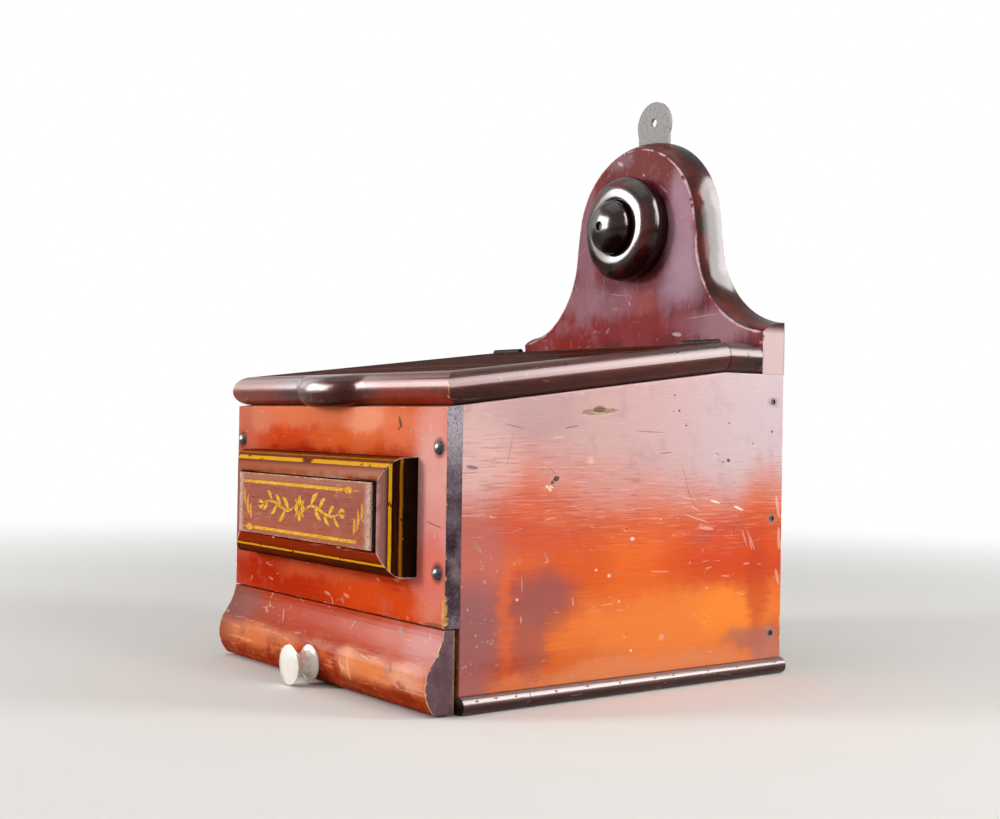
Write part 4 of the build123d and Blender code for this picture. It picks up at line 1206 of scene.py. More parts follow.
@dataclass(frozen=True)
class TurnedWood(Finish):
    """Turned boss: near-black polish with fine turning rings and a red glow in the thin places."""

    centre_z: float = 238.3

    def dress(self, paint: Paint) -> bpy.types.Material:
        """Make the nodes of this finish.

        Args:
            paint: Material being made.

        Returns:
            The finished material.
        """
        wood = Timber(Grain.ALONG_Z, "140807", "1c0706", "300c09", ripple=0.015, rough=0.26)
        coat = wood.lay(paint)
        up = paint.z - self.centre_z
        radius = (paint.x * paint.x + up * up).root()
        glow = radius.band(19.0, 27.0, 3.0) * paint.clouds(14.0, 8.0).smooth(0.42, 0.62)
        coat = coat.tinted("5c1a14", glow * 0.7)
        rings = paint.node("ShaderNodeTexWave", {"wave_type": "RINGS", "rings_direction": "Y"}, {
            "Vector": paint.vector("SUBTRACT", paint.place, (0.0, 0.0, self.centre_z)),
            "Scale": 0.32, "Distortion": 1.2, "Detail": 2.0,
        }, 1)
        coat = coat.sunk(0.02, rings)
        coat = coat.marked(paint.flecks(5.0, 0.35, 0.35, 15.0), "9c8078", 0.5, 0.1)
        # Painted shade: the hole at the button's tip is painted near-black.
        hole = radius.smooth(3.6, 2.6) * paint.y.smooth(67.0, 63.0)
        coat = coat.tinted("0a0504", hole)
        polished = paint.x.smooth(-13.0, 8.0) * 0.5 + 0.12
        return paint.finish(coat, gloss=polished, gloss_roughness=0.17, specular=0.03, tint="e09a92")


@dataclass(frozen=True)
class BeadWood(Finish):
    """Base boards: dark polish on the rounded edges, raw underneath."""

    def dress(self, paint: Paint) -> bpy.types.Material:
        """Make the nodes of this finish.

        Args:
            paint: Material being made.

        Returns:
            The finished material.
        """
        wood = Timber(Grain.ALONG_Y, "1a0e0b", "2f1812", "46251b", ripple=0.03, rough=0.3)
        coat = wood.lay(paint)
        coat = coat.tinted("78605a", paint.z.smooth(3.0, 7.0) * 0.6)
        coat = coat.marked(paint.flecks(5.0, 0.4, 0.4, 6.0), "b79a86", 0.6, 0.15)
        coat = coat.marked(paint.scratches((1.0, 0.2, 1.0), 0.014, 41.0), "a08674", 0.45, 0.06)
        inner = abs(paint.x).smooth(HALF_WIDTH - 1, HALF_WIDTH - 3) * paint.z.smooth(7.6, 7.9)
        under = paint.z.smooth(0.4, 0.1)
        coat = coat.covered(RAW_PINE_ACROSS.lay(paint), inner.most(under))
        return paint.finish(coat, gloss=0.46, gloss_roughness=0.2, specular=0.1, tint="e09a92")


class Run(Enum):
    """Which way a plaque moulding runs."""

    TOP = "top"
    BOTTOM = "bottom"
    UPRIGHT = "upright"


@dataclass(frozen=True)
class MouldingPaint(Finish):
    """Plaque mouldings: brown stain with yellow lines that follow the outer edge, a painted highlight on the
    inner part, a mitre line that is partly a painted highlight, and an outer edge painted near-black as
    shade.
    """

    run: Run = Run.TOP
    straight_edge: float = 7.5

    def dress(self, paint: Paint) -> bpy.types.Material:
        """Make the nodes of this finish.

        Args:
            paint: Material being made.

        Returns:
            The finished material.
        """
        in_from = {
            Run.TOP: lambda: PLAQUE_HIGH_Z - paint.z,
            Run.BOTTOM: lambda: paint.z - PLAQUE_LOW_Z,
            Run.UPRIGHT: lambda: PLAQUE_HALF - abs(paint.x),
        }[self.run]()
        outer, inner, thick = {
            Run.TOP: ("64260a", "a05430", (2.9, 4.7)),
            Run.BOTTOM: ("6a2206", "8a2806", (4.7, 5.7)),
            Run.UPRIGHT: ("240d06", "94605a", (2.5, 3.8)),
        }[self.run]
        grain = Grain.ALONG_Z if self.run is Run.UPRIGHT else Grain.ALONG_X
        coat = Timber(grain, "3a1204", outer, "783410", ripple=0.02, rough=0.34).lay(paint)
        coat = coat.tinted(inner, in_from.smooth(thick[1] - 0.4, thick[1] + 2.5) * 0.8)
        # Painted highlight: a pinkish sheen over the inner part that grows to the right.
        haze = in_from.smooth(6.6, 10.8) * paint.clouds(9.0, 3.0).smooth(0.35, 0.6)
        if self.run is not Run.BOTTOM:
            coat = coat.tinted("bd9488", haze * (paint.x.smooth(-40.0, 74.0) * 0.6 + 0.1))
        waver = (paint.clouds(7.0, 12.0) - 0.5) * 0.35
        worn = paint.clouds(4.0, 25.0, 5.0).smooth(0.66, 0.60)
        gap = paint.spot((0.5, 0, PLAQUE_HIGH_Z), (5.5, FAR, 7.0), 0.5, 1.0)
        gap = 1.0 - gap * (1.0 if self.run is Run.TOP else 0.0)
        line = (in_from + waver).band(thick[0], thick[1], 0.12) * worn * gap
        coat = coat.marked(line, "d89c16", 0.95, -0.03).dulled(0.45, line)
        if self.run is not Run.BOTTOM:
            low, high = (0.0, 0.35) if self.run is Run.UPRIGHT else (1.1, 1.6)
            faint = (in_from + waver).band(low, high, 0.12) * worn
            coat = coat.tinted("b87a14", faint * 0.65)
        # Painted shade: the outer edge faces are painted near-black for the shadow they stand in, the
        # uprights more than the level rails.
        rise = paint.y * -1.0 + FRONT_Y
        black = rise.smooth(self.straight_edge + 1.1, self.straight_edge - 0.2)
        coat = coat.tinted("0e0807", black * (0.96 if self.run is Run.UPRIGHT else 0.75))
        # The pale line along each mitre is partly a worn arris and partly a painted highlight.
        mitre = abs(abs(paint.x) - PLAQUE_HALF + self.mitre_reach(paint)) * MITRE_SLANT
        bright = paint.worn_edge(mitre, 0.75)
        coat = coat.tinted("cfae9c", bright * 0.75)
        coat = coat.marked(paint.flecks(4.5, 0.35, 0.35, 35.0), "d39a62", 0.6, 0.1)
        return paint.finish(coat, gloss=0.03, gloss_roughness=0.2, specular=0.0)

    def mitre_reach(self, paint: Paint) -> Sock:
        """How far in from the outer edge a point lies, measured up or down to the nearer level edge."""
        return (PLAQUE_HIGH_Z - paint.z).least(paint.z - PLAQUE_LOW_Z)


@dataclass(frozen=True)
class TabletPaint(Finish):
    """Tablet: mauve ground inside a worn, tan margin with fine cracks at its ends, and side faces painted
    near-black as shade.
    """

    def ground(self, paint: Paint) -> Coat:
        """Ground paint that the gilding also wears through to.

        Args:
            paint: Material being made.

        Returns:
            The new coat.
        """
        board = Timber(
            Grain.ALONG_X, "8a4a42", "9c5a4c", "ac6a56", figure=0.03, ripple=0.02, rough=0.42
        )
        coat = board.lay(paint)
        coat = coat.tinted("b87558", paint.clouds(16.0, 3.0, 4.0).smooth(0.48, 0.68) * 0.5)
        top = paint.z.smooth(95.4, 98.0)
        low = paint.z.smooth(72.6, 70.4)
        margin = top.most(low * 0.7)
        coat = coat.tinted("b05c38", paint.z.smooth(82.0, 71.0) * 0.5).tinted("a87460", margin * 0.6)
        coat = coat.marked(paint.flecks(4.5, 0.35, 0.4, 17.0), "d3a183", 0.55, 0.08)
        return coat.marked(paint.scratches((0.25, 1.0, 1.0), 0.012, 3.0), "d0a08c", 0.5, 0.05)

    def dress(self, paint: Paint) -> bpy.types.Material:
        """Make the nodes of this finish.

        Args:
            paint: Material being made.

        Returns:
            The finished material.
        """
        coat = self.ground(paint)
        in_from_end = abs(paint.x) * -1.0 + TABLET_HALF
        cracks = paint.noise(paint.squeezed((0.3, 1.0, 1.0), 8.0), 1.3, 3.0, 0.6).smooth(0.54, 0.62)
        worn = (in_from_end + (paint.clouds(5.0, 2.0) - 0.5) * 5.0).smooth(6.2, 1.4)
        coat = coat.tinted("cbaa98", worn * 0.9).marked(worn * cracks, "6b4438", 0.7, 0.12)
        rims = (
            ((0, TABLET_FACE_Y, TABLET_HIGH_Z), (1, 0, 0)),
            ((0, TABLET_FACE_Y, TABLET_LOW_Z), (1, 0, 0)),
            ((TABLET_HALF, TABLET_FACE_Y, 0), (0, 0, 1)),
            ((-TABLET_HALF, TABLET_FACE_Y, 0), (0, 0, 1)),
        )
        coat = coat.tinted("d8b49c", paint.near_lines(rims, 1.1) * 0.8)
        # Painted shade: the tablet's side faces are painted near-black.
        edge = (paint.y - TABLET_FACE_Y).smooth(0.7, 1.6)
        coat = coat.tinted("0f0907", edge * 0.9)
        return paint.finish(coat, gloss=0.02, gloss_roughness=0.2, specular=0.0)


@dataclass(frozen=True)
class GiltPaint(Finish):
    """Yellow ornament paint, rubbed thin in places."""

    def dress(self, paint: Paint) -> bpy.types.Material:
        """Make the nodes of this finish.

        Args:
            paint: Material being made.

        Returns:
            The finished material.
        """
        ground = TabletPaint("tablet_ground").ground(paint)
        brush = paint.noise(paint.squeezed((0.3, 1.0, 1.0), 2.0), 1.2, 3.0)
        stops = [(0.35, "c98a1c"), (0.55, "e0a92a"), (0.7, "eec04a")]
        colour = paint.node("ShaderNodeValToRGB", {"stops": stops}, {0: brush})
        gilt = Coat(paint, colour, brush * 0.1 + 0.36, brush * 0.02)
        thin = paint.clouds(3.6, 28.0, 5.0).smooth(0.60, 0.70)
        ends = abs(paint.x).smooth(40.0, 62.0) * 0.35
        return paint.finish(gilt.covered(ground, (thin * 0.8).most(ends)), gloss=0.03, specular=0.02)


@dataclass(frozen=True)
class BareWood(Finish):
    """Unfinished inner boards and raw wood in chips."""

    timber: Timber = RAW_PINE
    soiled: float = 0.4

    def dress(self, paint: Paint) -> bpy.types.Material:
        """Make the nodes of this finish.

        Args:
            paint: Material being made.

        Returns:
            The finished material.
        """
        coat = self.timber.lay(paint)
        coat = coat.tinted("5e4128", paint.clouds(28.0, 6.0, 4.0).smooth(0.45, 0.7) * self.soiled)
        bloom = paint.clouds(8.0, 18.0, 5.0).smooth(0.58, 0.70)
        coat = coat.tinted("d8cdb8", bloom * 0.25)
        return paint.finish(coat, specular=0.25)


@dataclass(frozen=True)
class Mottled(Finish):
    """Mottled surface: blackened iron, dull plated steel, tarnished brass, or a ground painted near-black as
    shade.
    """

    base: str = "2c2b2d"
    bright: str = "5a585a"
    stain: str = "3a2a22"
    metallic: float = 0.9
    rough: float = 0.34
    relief: float = 0.08
    specular: float = 0.5

    def dress(self, paint: Paint) -> bpy.types.Material:
        """Make the nodes of this finish.

        Args:
            paint: Material being made.

        Returns:
            The finished material.
        """
        hammered = paint.clouds(1.8, 4.0, 2.0)
        fine = paint.clouds(0.7, 9.0, 3.0)
        stops = [(0.35, self.base), (0.65, self.bright)]
        colour = paint.node("ShaderNodeValToRGB", {"stops": stops}, {0: hammered * 0.6 + fine * 0.4})
        coat = Coat(paint, colour, fine * 0.22 + (self.rough - 0.1), hammered * self.relief + fine * 0.02)
        rust = paint.clouds(3.2, 21.0, 4.0).smooth(0.58, 0.68)
        coat = coat.tinted(self.stain, rust * 0.6).dulled(0.65, rust)
        return paint.finish(coat, metallic=self.metallic, specular=self.specular)


@dataclass(frozen=True)
class Glaze(Finish):
    """White glazed knob with a faint warm tone, pin holes and a brownish tint in the neck that is painted
    shade.
    """

    centre_z: float = 10.2

    def dress(self, paint: Paint) -> bpy.types.Material:
        """Make the nodes of this finish.

        Args:
            paint: Material being made.

        Returns:
            The finished material.
        """
        clouds = paint.clouds(7.0, 5.0)
        stops = [(0.35, "e9e2d5"), (0.55, "f1ece3"), (0.7, "f6f3ec")]
        colour = paint.node("ShaderNodeValToRGB", {"stops": stops}, {0: clouds})
        coat = Coat(paint, colour, clouds * 0.06 + 0.14, paint.clouds(5.0, 2.0) * 0.05)
        coat = coat.marked(paint.flecks(3.6, 0.16, 0.3, 12.0), "b8a88e", 0.6, 0.1)
        up = paint.z - self.centre_z
        radius = (paint.x * paint.x + up * up).root()
        # Painted shade: a cloudy brownish tint darkens the neck between the flange and the head.
        neck = radius.smooth(7.4, 5.4) * paint.y.band(-125.5, -117.0, 1.0)
        coat = coat.tinted("a58c6c", neck * paint.clouds(2.5, 7.0).smooth(0.3, 0.7) * 0.5)
        return paint.finish(coat, gloss=0.8, gloss_roughness=0.05, specular=0.5)


# ---- worn pieces ---------------------------------------------------------------------------------
@dataclass(frozen=True)
class Nick:
    """Chip or dent cut into a piece, in millimetres."""

    centre: Triple
    radii: Triple
    seed: int = 1

    def add_to(self, cutter: bmesh.types.BMesh) -> None:
        """Add the nick's ragged lump to a cutter.

        Args:
            cutter: Mesh that gathers the lumps.
        """
        lot = random.Random(self.seed)
        made = bmesh.ops.create_icosphere(cutter, subdivisions=2, radius=1.0)
        for vert in made["verts"]:
            ragged = lot.uniform(0.72, 1.12)
            place = [c + r * v * ragged for c, r, v in zip(self.centre, self.radii, vert.co)]
            vert.co = Vector(place) * MM


def nicks_along(
    start: Triple, end: Triple, count: int, size: Pair, seed: int, flat: Triple = (1, 1, 1)
) -> list[Nick]:
    """Spread nicks unevenly along an arris.

    Args:
        start: One end of the arris.
        end: Its other end.
        count: How many nicks.
        size: Smallest and largest radius.
        seed: Seed of the spread.
        flat: How much each axis of a nick is stretched.

    Returns:
        The nicks.
    """
    lot = random.Random(seed)
    nicks = []
    for index in range(count):
        along = (index + lot.uniform(0.15, 0.85)) / count
        radius = lot.uniform(*size)
        centre = tuple(a + (b - a) * along + lot.uniform(-0.25, 0.25) for a, b in zip(start, end))
        radii = tuple(radius * f * lot.uniform(0.7, 1.3) for f in flat)
        nicks.append(Nick(centre, radii, seed * 100 + index))
    return nicks


@dataclass(frozen=True)
class Piece:
    """A sub-part of the frame with its finish, and the wear that is cut into it."""

    node: str
    body: str
    slot: str
    finish: Finish
    nicks: Sequence[Nick] = ()
    raw: Optional[Finish] = None

    def build(self) -> bpy.types.Object:
        """Dress the sub-part, or make its worn copy where it has nicks.

        Returns:
            The shown object.
        """
        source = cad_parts[self.node]
        if not self.nicks:
            self._paint(source, self.finish)
            return source
        worn = bpy.data.objects.new(f"{self.node}_worn", self._welded(source))
        bpy.context.scene.collection.objects.link(worn)
        self._paint(worn, self.finish)
        self._cut(worn)
        self._shade(worn)
        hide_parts(self.node)
        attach(worn, self.body)
        return worn

    @staticmethod
    def _paint(piece: bpy.types.Object, finish: Finish) -> None:
        """Put a finish on every material slot of a piece.

        Args:
            piece: Object to dress.
            finish: Its finish.
        """
        if not piece.material_slots:
            piece.data.materials.append(finish.material())
        for material_slot in piece.material_slots:
            material_slot.material = finish.material()

    @staticmethod
    def _welded(source: bpy.types.Object) -> bpy.types.Mesh:
        """Copy a sub-part's mesh with its split vertices joined.

        Args:
            source: Sub-part of the frame.

        Returns:
            The new mesh.
        """
        shape = bmesh.new()
        shape.from_mesh(source.data)
        bmesh.ops.remove_doubles(shape, verts=shape.verts, dist=1.0e-6)
        bmesh.ops.dissolve_limit(shape, angle_limit=math.radians(0.3), verts=shape.verts, edges=shape.edges)
        mesh = bpy.data.meshes.new(f"{source.name}_worn")
        shape.to_mesh(mesh)
        shape.free()
        return mesh

    def _cut(self, worn: bpy.types.Object) -> None:
        """Cut the nicks; their faces show raw wood.

        Args:
            worn: Worn copy of the sub-part.
        """
        shape = bmesh.new()
        for nick in self.nicks:
            nick.add_to(shape)
        mesh = bpy.data.meshes.new(f"{self.node}_cutter")
        shape.to_mesh(mesh)
        shape.free()
        mesh.materials.append((self.raw or self.finish).material())
        cutter = bpy.data.objects.new(f"{self.node}_cutter", mesh)
        bpy.context.scene.collection.objects.link(cutter)
        change = worn.modifiers.new("nicks", "BOOLEAN")
        change.operation = "DIFFERENCE"
        change.object = cutter
        change.solver = "EXACT"
        change.use_self = True
        change.material_mode = "TRANSFER"
        graph = bpy.context.evaluated_depsgraph_get()
        cut = bpy.data.meshes.new_from_object(worn.evaluated_get(graph), depsgraph=graph)
        worn.modifiers.clear()
        worn.data = cut
        bpy.data.objects.remove(cutter)

    @staticmethod
    def _shade(worn: bpy.types.Object) -> None:
        """Smooth the curved faces and keep the arrises crisp.

        Args:
            worn: Worn copy of the sub-part.
        """
        for polygon in worn.data.polygons:
            polygon.use_smooth = True
        worn.data.set_sharp_from_angle(angle=math.radians(28))
        even = worn.modifiers.new("even_normals", "WEIGHTED_NORMAL")
        even.keep_sharp = True
        even.weight = 60


class SubAssembly:
    """Pieces that belong together."""

    title = "sub-assembly"

    def pieces(self) -> list[Piece]:
        """The dressed pieces."""
        raise NotImplementedError

    def build(self) -> None:
        """Build every piece and report it."""
        for piece in self.pieces():
            made = piece.build()
            log.info("%s: %s (%d faces)", self.title, made.name, len(made.data.polygons))


RAW_CHIP = BareWood(
    "raw_chip",
    Timber(Grain.ALONG_X, "b07c48", "cd9a5c", "e0b67a", fibre=1.2, ripple=0.04, rough=0.75),
    0.15,
)
DARK_CHIP = BareWood(
    "dark_chip",
    Timber(Grain.ALONG_X, "5a3420", "7a4a2c", "98623c", fibre=1.2, ripple=0.04, rough=0.7),
    0.3,
)
SIDE_WOOD = SideWood("side_varnish")
FRONT_WOOD = FrontWood("front_varnish")
DRAWER_WOOD = DrawerWood("drawer_varnish")
LID_WOOD = LidWood("lid_side_polish")
LID_BOARD_WOOD = LidWood(
    "lid_board_polish",
    Timber(Grain.ALONG_X, "24100c", "3a1a12", "5a2e1c", ripple=0.05, rough=0.5),
    gloss=0.05,
    specular=0.0,
)
LID_FRONT_WOOD = LidWood(
    "lid_front_polish",
    Timber(Grain.ALONG_X, "1e0806", "360f0a", "4c1a10", ripple=0.03, rough=0.32),
    rubbed_front=0.9,
)
RAIL_WOOD = LidWood(
    "rail_polish",
    Timber(Grain.ALONG_X, "20100d", "351914", "48241c", ripple=0.025, rough=0.32),
    underside=False,
)
TABLET_PAINT = TabletPaint("tablet_ground_paint")
CREST_WOOD = CrestWood("crest_varnish")
BEAD_WOOD = BeadWood("bead_polish")
BOSS_WOOD = TurnedWood("boss_polish")
INNER_WOOD = BareWood("inner_wood", RAW_PINE)
INNER_WOOD_ACROSS = BareWood("inner_wood_across", RAW_PINE_ACROSS)
IRON = Mottled("black_iron")
STEEL = Mottled("dull_steel", "7f7a79", "9a9492", "6b5342", 0.0, 0.6, 0.02, 0.1)
BRASS = Mottled("dark_brass", "1a100c", "2c1b12", "120c09", 0.0, 0.55, 0.03, 0.05)
GLAZE = Glaze("white_glaze")
# Painted shade: the ground round the tablet is near-black for the shadow in the gap.
SHADOW_GROUND = Mottled("plaque_shadow", "0c0706", "160d0a", "1c100c", 0.0, 0.7)


@dataclass
class Carcass(SubAssembly):
    """Sides, front panel, base, salt floor and back board."""

    title: str = "carcass"
    front_low_z: float = FRONT_LOW_Z

    def pieces(self) -> list[Piece]:
        """The dressed pieces.

        Returns:
            The pieces.
        """
        boards = [
            Piece("back_board", "case", "crest_wood", CREST_WOOD, self.crest_nicks(), DARK_CHIP),
            Piece("front_panel", "case", "front_wood", FRONT_WOOD, self.front_nicks(), RAW_CHIP),
            Piece("salt_floor", "case", "bare_wood", INNER_WOOD_ACROSS),
            Piece("hinge_rail", "case", "lid_wood", RAIL_WOOD, self.rail_nicks(), DARK_CHIP),
        ]
        for side, sign in (("left", -1), ("right", 1)):
            nicks = self.side_nicks(sign)
            boards.append(Piece(f"side_{side}", "case", "side_wood", SIDE_WOOD, nicks, SIDE_WOOD))
        for name in ("front", "rear"):
            node, nicks = f"base_board_{name}", self.bead_nicks(name)
            boards.append(Piece(node, "case", "base_wood", BEAD_WOOD, nicks, DARK_CHIP))
        return boards

    def side_nicks(self, sign: int) -> list[Nick]:
        """Pits in the face and a bruised rear arris.

        Args:
            sign: -1 on the left, 1 on the right.

        Returns:
            The nicks.
        """
        x = sign * (HALF_WIDTH + 0.3)
        pits = [
            Nick((x, -46.5, 101.3), (0.9, 1.5, 1.8), 3),
            Nick((x, -48.6, 97.4), (0.75, 1.9, 1.3), 4),
            Nick((x, 57.8, 112.9), (0.8, 1.8, 1.2), 5),
            Nick((x, 27.1, 134.0), (0.7, 1.2, 1.3), 6),
            Nick((x, -19.7, 133.2), (0.65, 8.5, 1.0), 7),
            Nick((x, -2.4, 77.5), (0.7, 1.5, 1.2), 8),
            Nick((x, -24.4, 59.2), (0.6, 1.3, 0.9), 9),
            Nick((x, 70.0, 75.0), (0.65, 1.6, 4.8), 10),
            Nick((x, -2.0, 27.7), (0.6, 1.8, 1.6), 11),
        ]
        rear = (sign * HALF_WIDTH, WALL_Y, 14.0), (sign * HALF_WIDTH, WALL_Y, 150.0)
        return pits + nicks_along(*rear, 9, (0.6, 1.3), 20 + sign, (0.8, 0.8, 1.8))

    def front_nicks(self) -> list[Nick]:
        """Broken lower right corner, bruised right arris and small bruises along the foot.

        Returns:
            The nicks.
        """
        corner = [
            Nick((HALF_WIDTH, FRONT_Y, 41.5), (1.9, 2.4, 2.8), 31),
            Nick((HALF_WIDTH, FRONT_Y, 46.5), (1.4, 1.8, 3.2), 32),
            Nick((HALF_WIDTH, FRONT_Y, 51.0), (1.0, 1.2, 1.6), 33),
            Nick((70.3, FRONT_Y - 0.2, 123.6), (0.9, 0.7, 2.6), 34),
        ]
        right = (HALF_WIDTH, FRONT_Y, 56.0), (HALF_WIDTH, FRONT_Y, 131.0)
        left = (-HALF_WIDTH, FRONT_Y, 44.0), (-HALF_WIDTH, FRONT_Y, 131.0)
        foot = (-92.0, FRONT_Y, self.front_low_z), (92.0, FRONT_Y, self.front_low_z)
        small = (0.4, 0.8)
        return (
            corner
            + nicks_along(*right, 10, small, 35, (0.8, 0.8, 1.6))
            + nicks_along(*left, 8, small, 36, (0.8, 0.8, 1.6))
            + nicks_along(*foot, 12, small, 37, (2.2, 0.8, 0.8))
        )

    def crest_nicks(self) -> list[Nick]:
        """Bruises along the front arris of the round top and the ears.

        Returns:
            The nicks.
        """
        nicks = []
        lot = random.Random(41)
        for index in range(13):
            turn = math.radians(lot.uniform(8, 172))
            aside, up = CREST_RADIUS * math.cos(turn), CREST_RADIUS * math.sin(turn)
            place = (aside, BACK_FACE_Y, CREST_CENTRE_Z + up)
            size = lot.uniform(0.5, 1.0)
            nicks.append(Nick(place, (1.3 * size, size, 1.3 * size), 400 + index))
        for sign in (-1, 1):
            ears = (sign * HALF_WIDTH, BACK_FACE_Y, 171.5), (sign * HALF_WIDTH, BACK_FACE_Y, 175.5)
            nicks += nicks_along(*ears, 2, (0.7, 1.2), 43 + sign)
        return nicks

    def rail_nicks(self) -> list[Nick]:
        """Short dark mark on the right end.

        Returns:
            The nicks.
        """
        return [
            Nick((LID_HALF + 0.2, 76.0, 163.5), (0.7, 0.45, 2.6), 51),
            Nick((LID_HALF - 3.5, 70.0, RAIL_TOP), (1.2, 1.0, 0.5), 52),
            Nick((40.0, RAIL_FRONT_Y, RAIL_TOP), (3.0, 0.7, 0.6), 53),
            Nick((-22.0, RAIL_FRONT_Y, RAIL_TOP), (2.0, 0.6, 0.5), 54),
        ]

    def bead_nicks(self, name: str) -> list[Nick]:
        """Bruises along the rounded edges.

        Args:
            name: Which of the two boards.

        Returns:
            The nicks.
        """
        start, end = (-96.0, -63.0) if name == "front" else (-56.0, 102.0)
        count = 3 if name == "front" else 8
        nicks = []
        for sign in (-1, 1):
            run = (sign * 103.4, start, 6.3), (sign * 103.4, end, 6.3)
            nicks += nicks_along(*run, count, (0.5, 0.9), 60 + sign, (0.8, 1.6, 0.8))
        return nicks


@dataclass
class Lid(SubAssembly):
    """Lid board and its mitred mouldings."""

    title: str = "lid"
    front_y: float = LID_FRONT_Y

    def pieces(self) -> list[Piece]:
        """The dressed pieces.

        Returns:
            The pieces.
        """
        return [
            Piece("lid_board", "lid", "lid_wood", LID_BOARD_WOOD, self.board_nicks(), DARK_CHIP),
            Piece("lid_edge_front", "lid", "lid_wood", LID_FRONT_WOOD, self.front_nicks(), RAW_CHIP),
            Piece("lid_edge_left", "lid", "lid_wood", LID_WOOD, self.side_nicks(-1), DARK_CHIP),
            Piece("lid_edge_right", "lid", "lid_wood", LID_WOOD, self.side_nicks(1), DARK_CHIP),
        ]

    @staticmethod
    def top_height(y: float) -> float:
        """Height of the closed lid's top at a depth."""
        return RAIL_TOP + (y - RAIL_FRONT_Y) * math.tan(LID_SLOPE)

    def board_nicks(self) -> list[Nick]:
        """Bruises along the rear edge and in the top.

        Returns:
            The nicks.
        """
        rear = (-64.0, 63.0, self.top_height(63.0)), (64.0, 63.0, self.top_height(63.0))
        nicks = nicks_along(*rear, 8, (0.5, 1.0), 71, (2.0, 0.8, 0.6))
        lot = random.Random(72)
        for index in range(14):
            x, y = lot.uniform(-90, 90), lot.uniform(-92, 50)
            size = lot.uniform(0.6, 1.4)
            nicks.append(Nick((x, y, self.top_height(y) + 0.15), (size, 1.4 * size, 0.55), 720 + index))
        return nicks

    def side_nicks(self, sign: int) -> list[Nick]:
        """Bruises along the rounded side.

        Args:
            sign: -1 on the left, 1 on the right.

        Returns:
            The nicks.
        """
        start, end = -100.0, 58.0
        high = (sign * (LID_HALF - 2.4), start, self.top_height(start) - 2.6)
        far = (sign * (LID_HALF - 2.4), end, self.top_height(end) - 2.6)
        return nicks_along(high, far, 9, (0.5, 0.95), 80 + sign, (0.7, 1.5, 0.7))

    def front_nicks(self) -> list[Nick]:
        """Small chips at the mitre and on the thumb lift.

        Returns:
            The nicks.
        """
        return [
            Nick((LID_HALF - 1.0, self.front_y + 0.6, 146.5), (0.9, 0.9, 1.4), 91),
            Nick((LID_HALF - 2.2, self.front_y + 0.8, 138.0), (0.9, 0.9, 1.2), 92),
            Nick((-14.0, -118.5, 137.5), (1.6, 0.7, 0.8), 93),
            Nick((22.0, -112.5, 136.5), (1.8, 0.8, 0.7), 94),
            Nick((-60.0, -108.4, 147.4), (1.6, 0.7, 0.6), 95),
            Nick((64.0, -108.2, 148.0), (1.4, 0.7, 0.6), 96),
        ]


@dataclass
class Plaque(SubAssembly):
    """Mouldings, ground and tablet of the painted plaque, with the ornament on the tablet."""

    title: str = "plaque"
    face_y: float = TABLET_FACE_Y
    middle_z: float = 84.8
    paint_rise: float = 0.06

    def pieces(self) -> list[Piece]:
        """The dressed pieces.

        Returns:
            The pieces.
        """
        top = MouldingPaint("moulding_top", Run.TOP)
        bottom = MouldingPaint("moulding_bottom", Run.BOTTOM)
        upright = MouldingPaint("moulding_upright", Run.UPRIGHT)
        above, below = self.rail_nicks(PLAQUE_HIGH_Z), self.rail_nicks(PLAQUE_LOW_Z)
        broken = self.tablet_nicks()
        return [
            Piece("plaque_rail_top", "case", "plaque_wood", top, above, DARK_CHIP),
            Piece("plaque_rail_bottom", "case", "plaque_wood", bottom, below, RAW_CHIP),
            Piece("plaque_stile_left", "case", "plaque_wood", upright),
            Piece("plaque_stile_right", "case", "plaque_wood", upright, self.stile_nicks(), RAW_CHIP),
            Piece("plaque_ground", "case", "plaque_wood", SHADOW_GROUND),
            Piece("plaque_tablet", "case", "tablet_paint", TABLET_PAINT, broken, RAW_CHIP),
        ]

    def rail_nicks(self, edge_z: float) -> list[Nick]:
        """Chips in a level moulding.

        Args:
            edge_z: Height of the moulding's outer edge.

        Returns:
            The nicks.
        """
        inward = math.copysign(1.0, self.middle_z - edge_z)
        return [
            Nick((1.0, -117.3, edge_z + inward * 3.4), (2.6, 0.6, 1.1), 101),
            Nick((69.5, -118.6, edge_z + inward * 6.6), (2.0, 1.1, 1.0), 102),
            Nick((-30.0, -120.9, edge_z + inward * 10.6), (1.6, 0.7, 0.5), 103),
            Nick((34.0, -120.9, edge_z + inward * 10.7), (2.2, 0.6, 0.5), 104),
        ]

    def stile_nicks(self) -> list[Nick]:
        """Chips at the lower mitre of the right moulding.

        Returns:
            The nicks.
        """
        return [
            Nick((71.5, -118.0, 63.6), (1.5, 1.2, 1.4), 111),
            Nick((74.2, -115.6, 60.6), (1.2, 1.4, 1.3), 112),
            Nick((67.0, -120.8, 74.0), (0.5, 0.6, 2.2), 113),
        ]

    def tablet_nicks(self) -> list[Nick]:
        """Broken edges of the tablet.

        Returns:
            The nicks.
        """
        right = (64.2, self.face_y, 70.5), (64.2, self.face_y, 99.5)
        top = (-60.0, self.face_y, 100.0), (60.0, self.face_y, 100.0)
        foot = (-60.0, self.face_y, 69.6), (60.0, self.face_y, 69.6)
        thin = (0.35, 0.7)
        return (
            nicks_along(*right, 9, thin, 121, (1.6, 0.8, 0.7))
            + nicks_along(*top, 12, thin, 122, (2.2, 0.8, 0.7))
            + nicks_along(*foot, 10, thin, 123, (2.2, 0.8, 0.7))
        )

    def build(self) -> None:
        """Build the pieces and the ornament."""
        super().build()
        ornament = Ornament(self.face_y - self.paint_rise, self.middle_z).build()
        log.info("%s: %s (%d faces)", self.title, ornament.name, len(ornament.data.polygons))


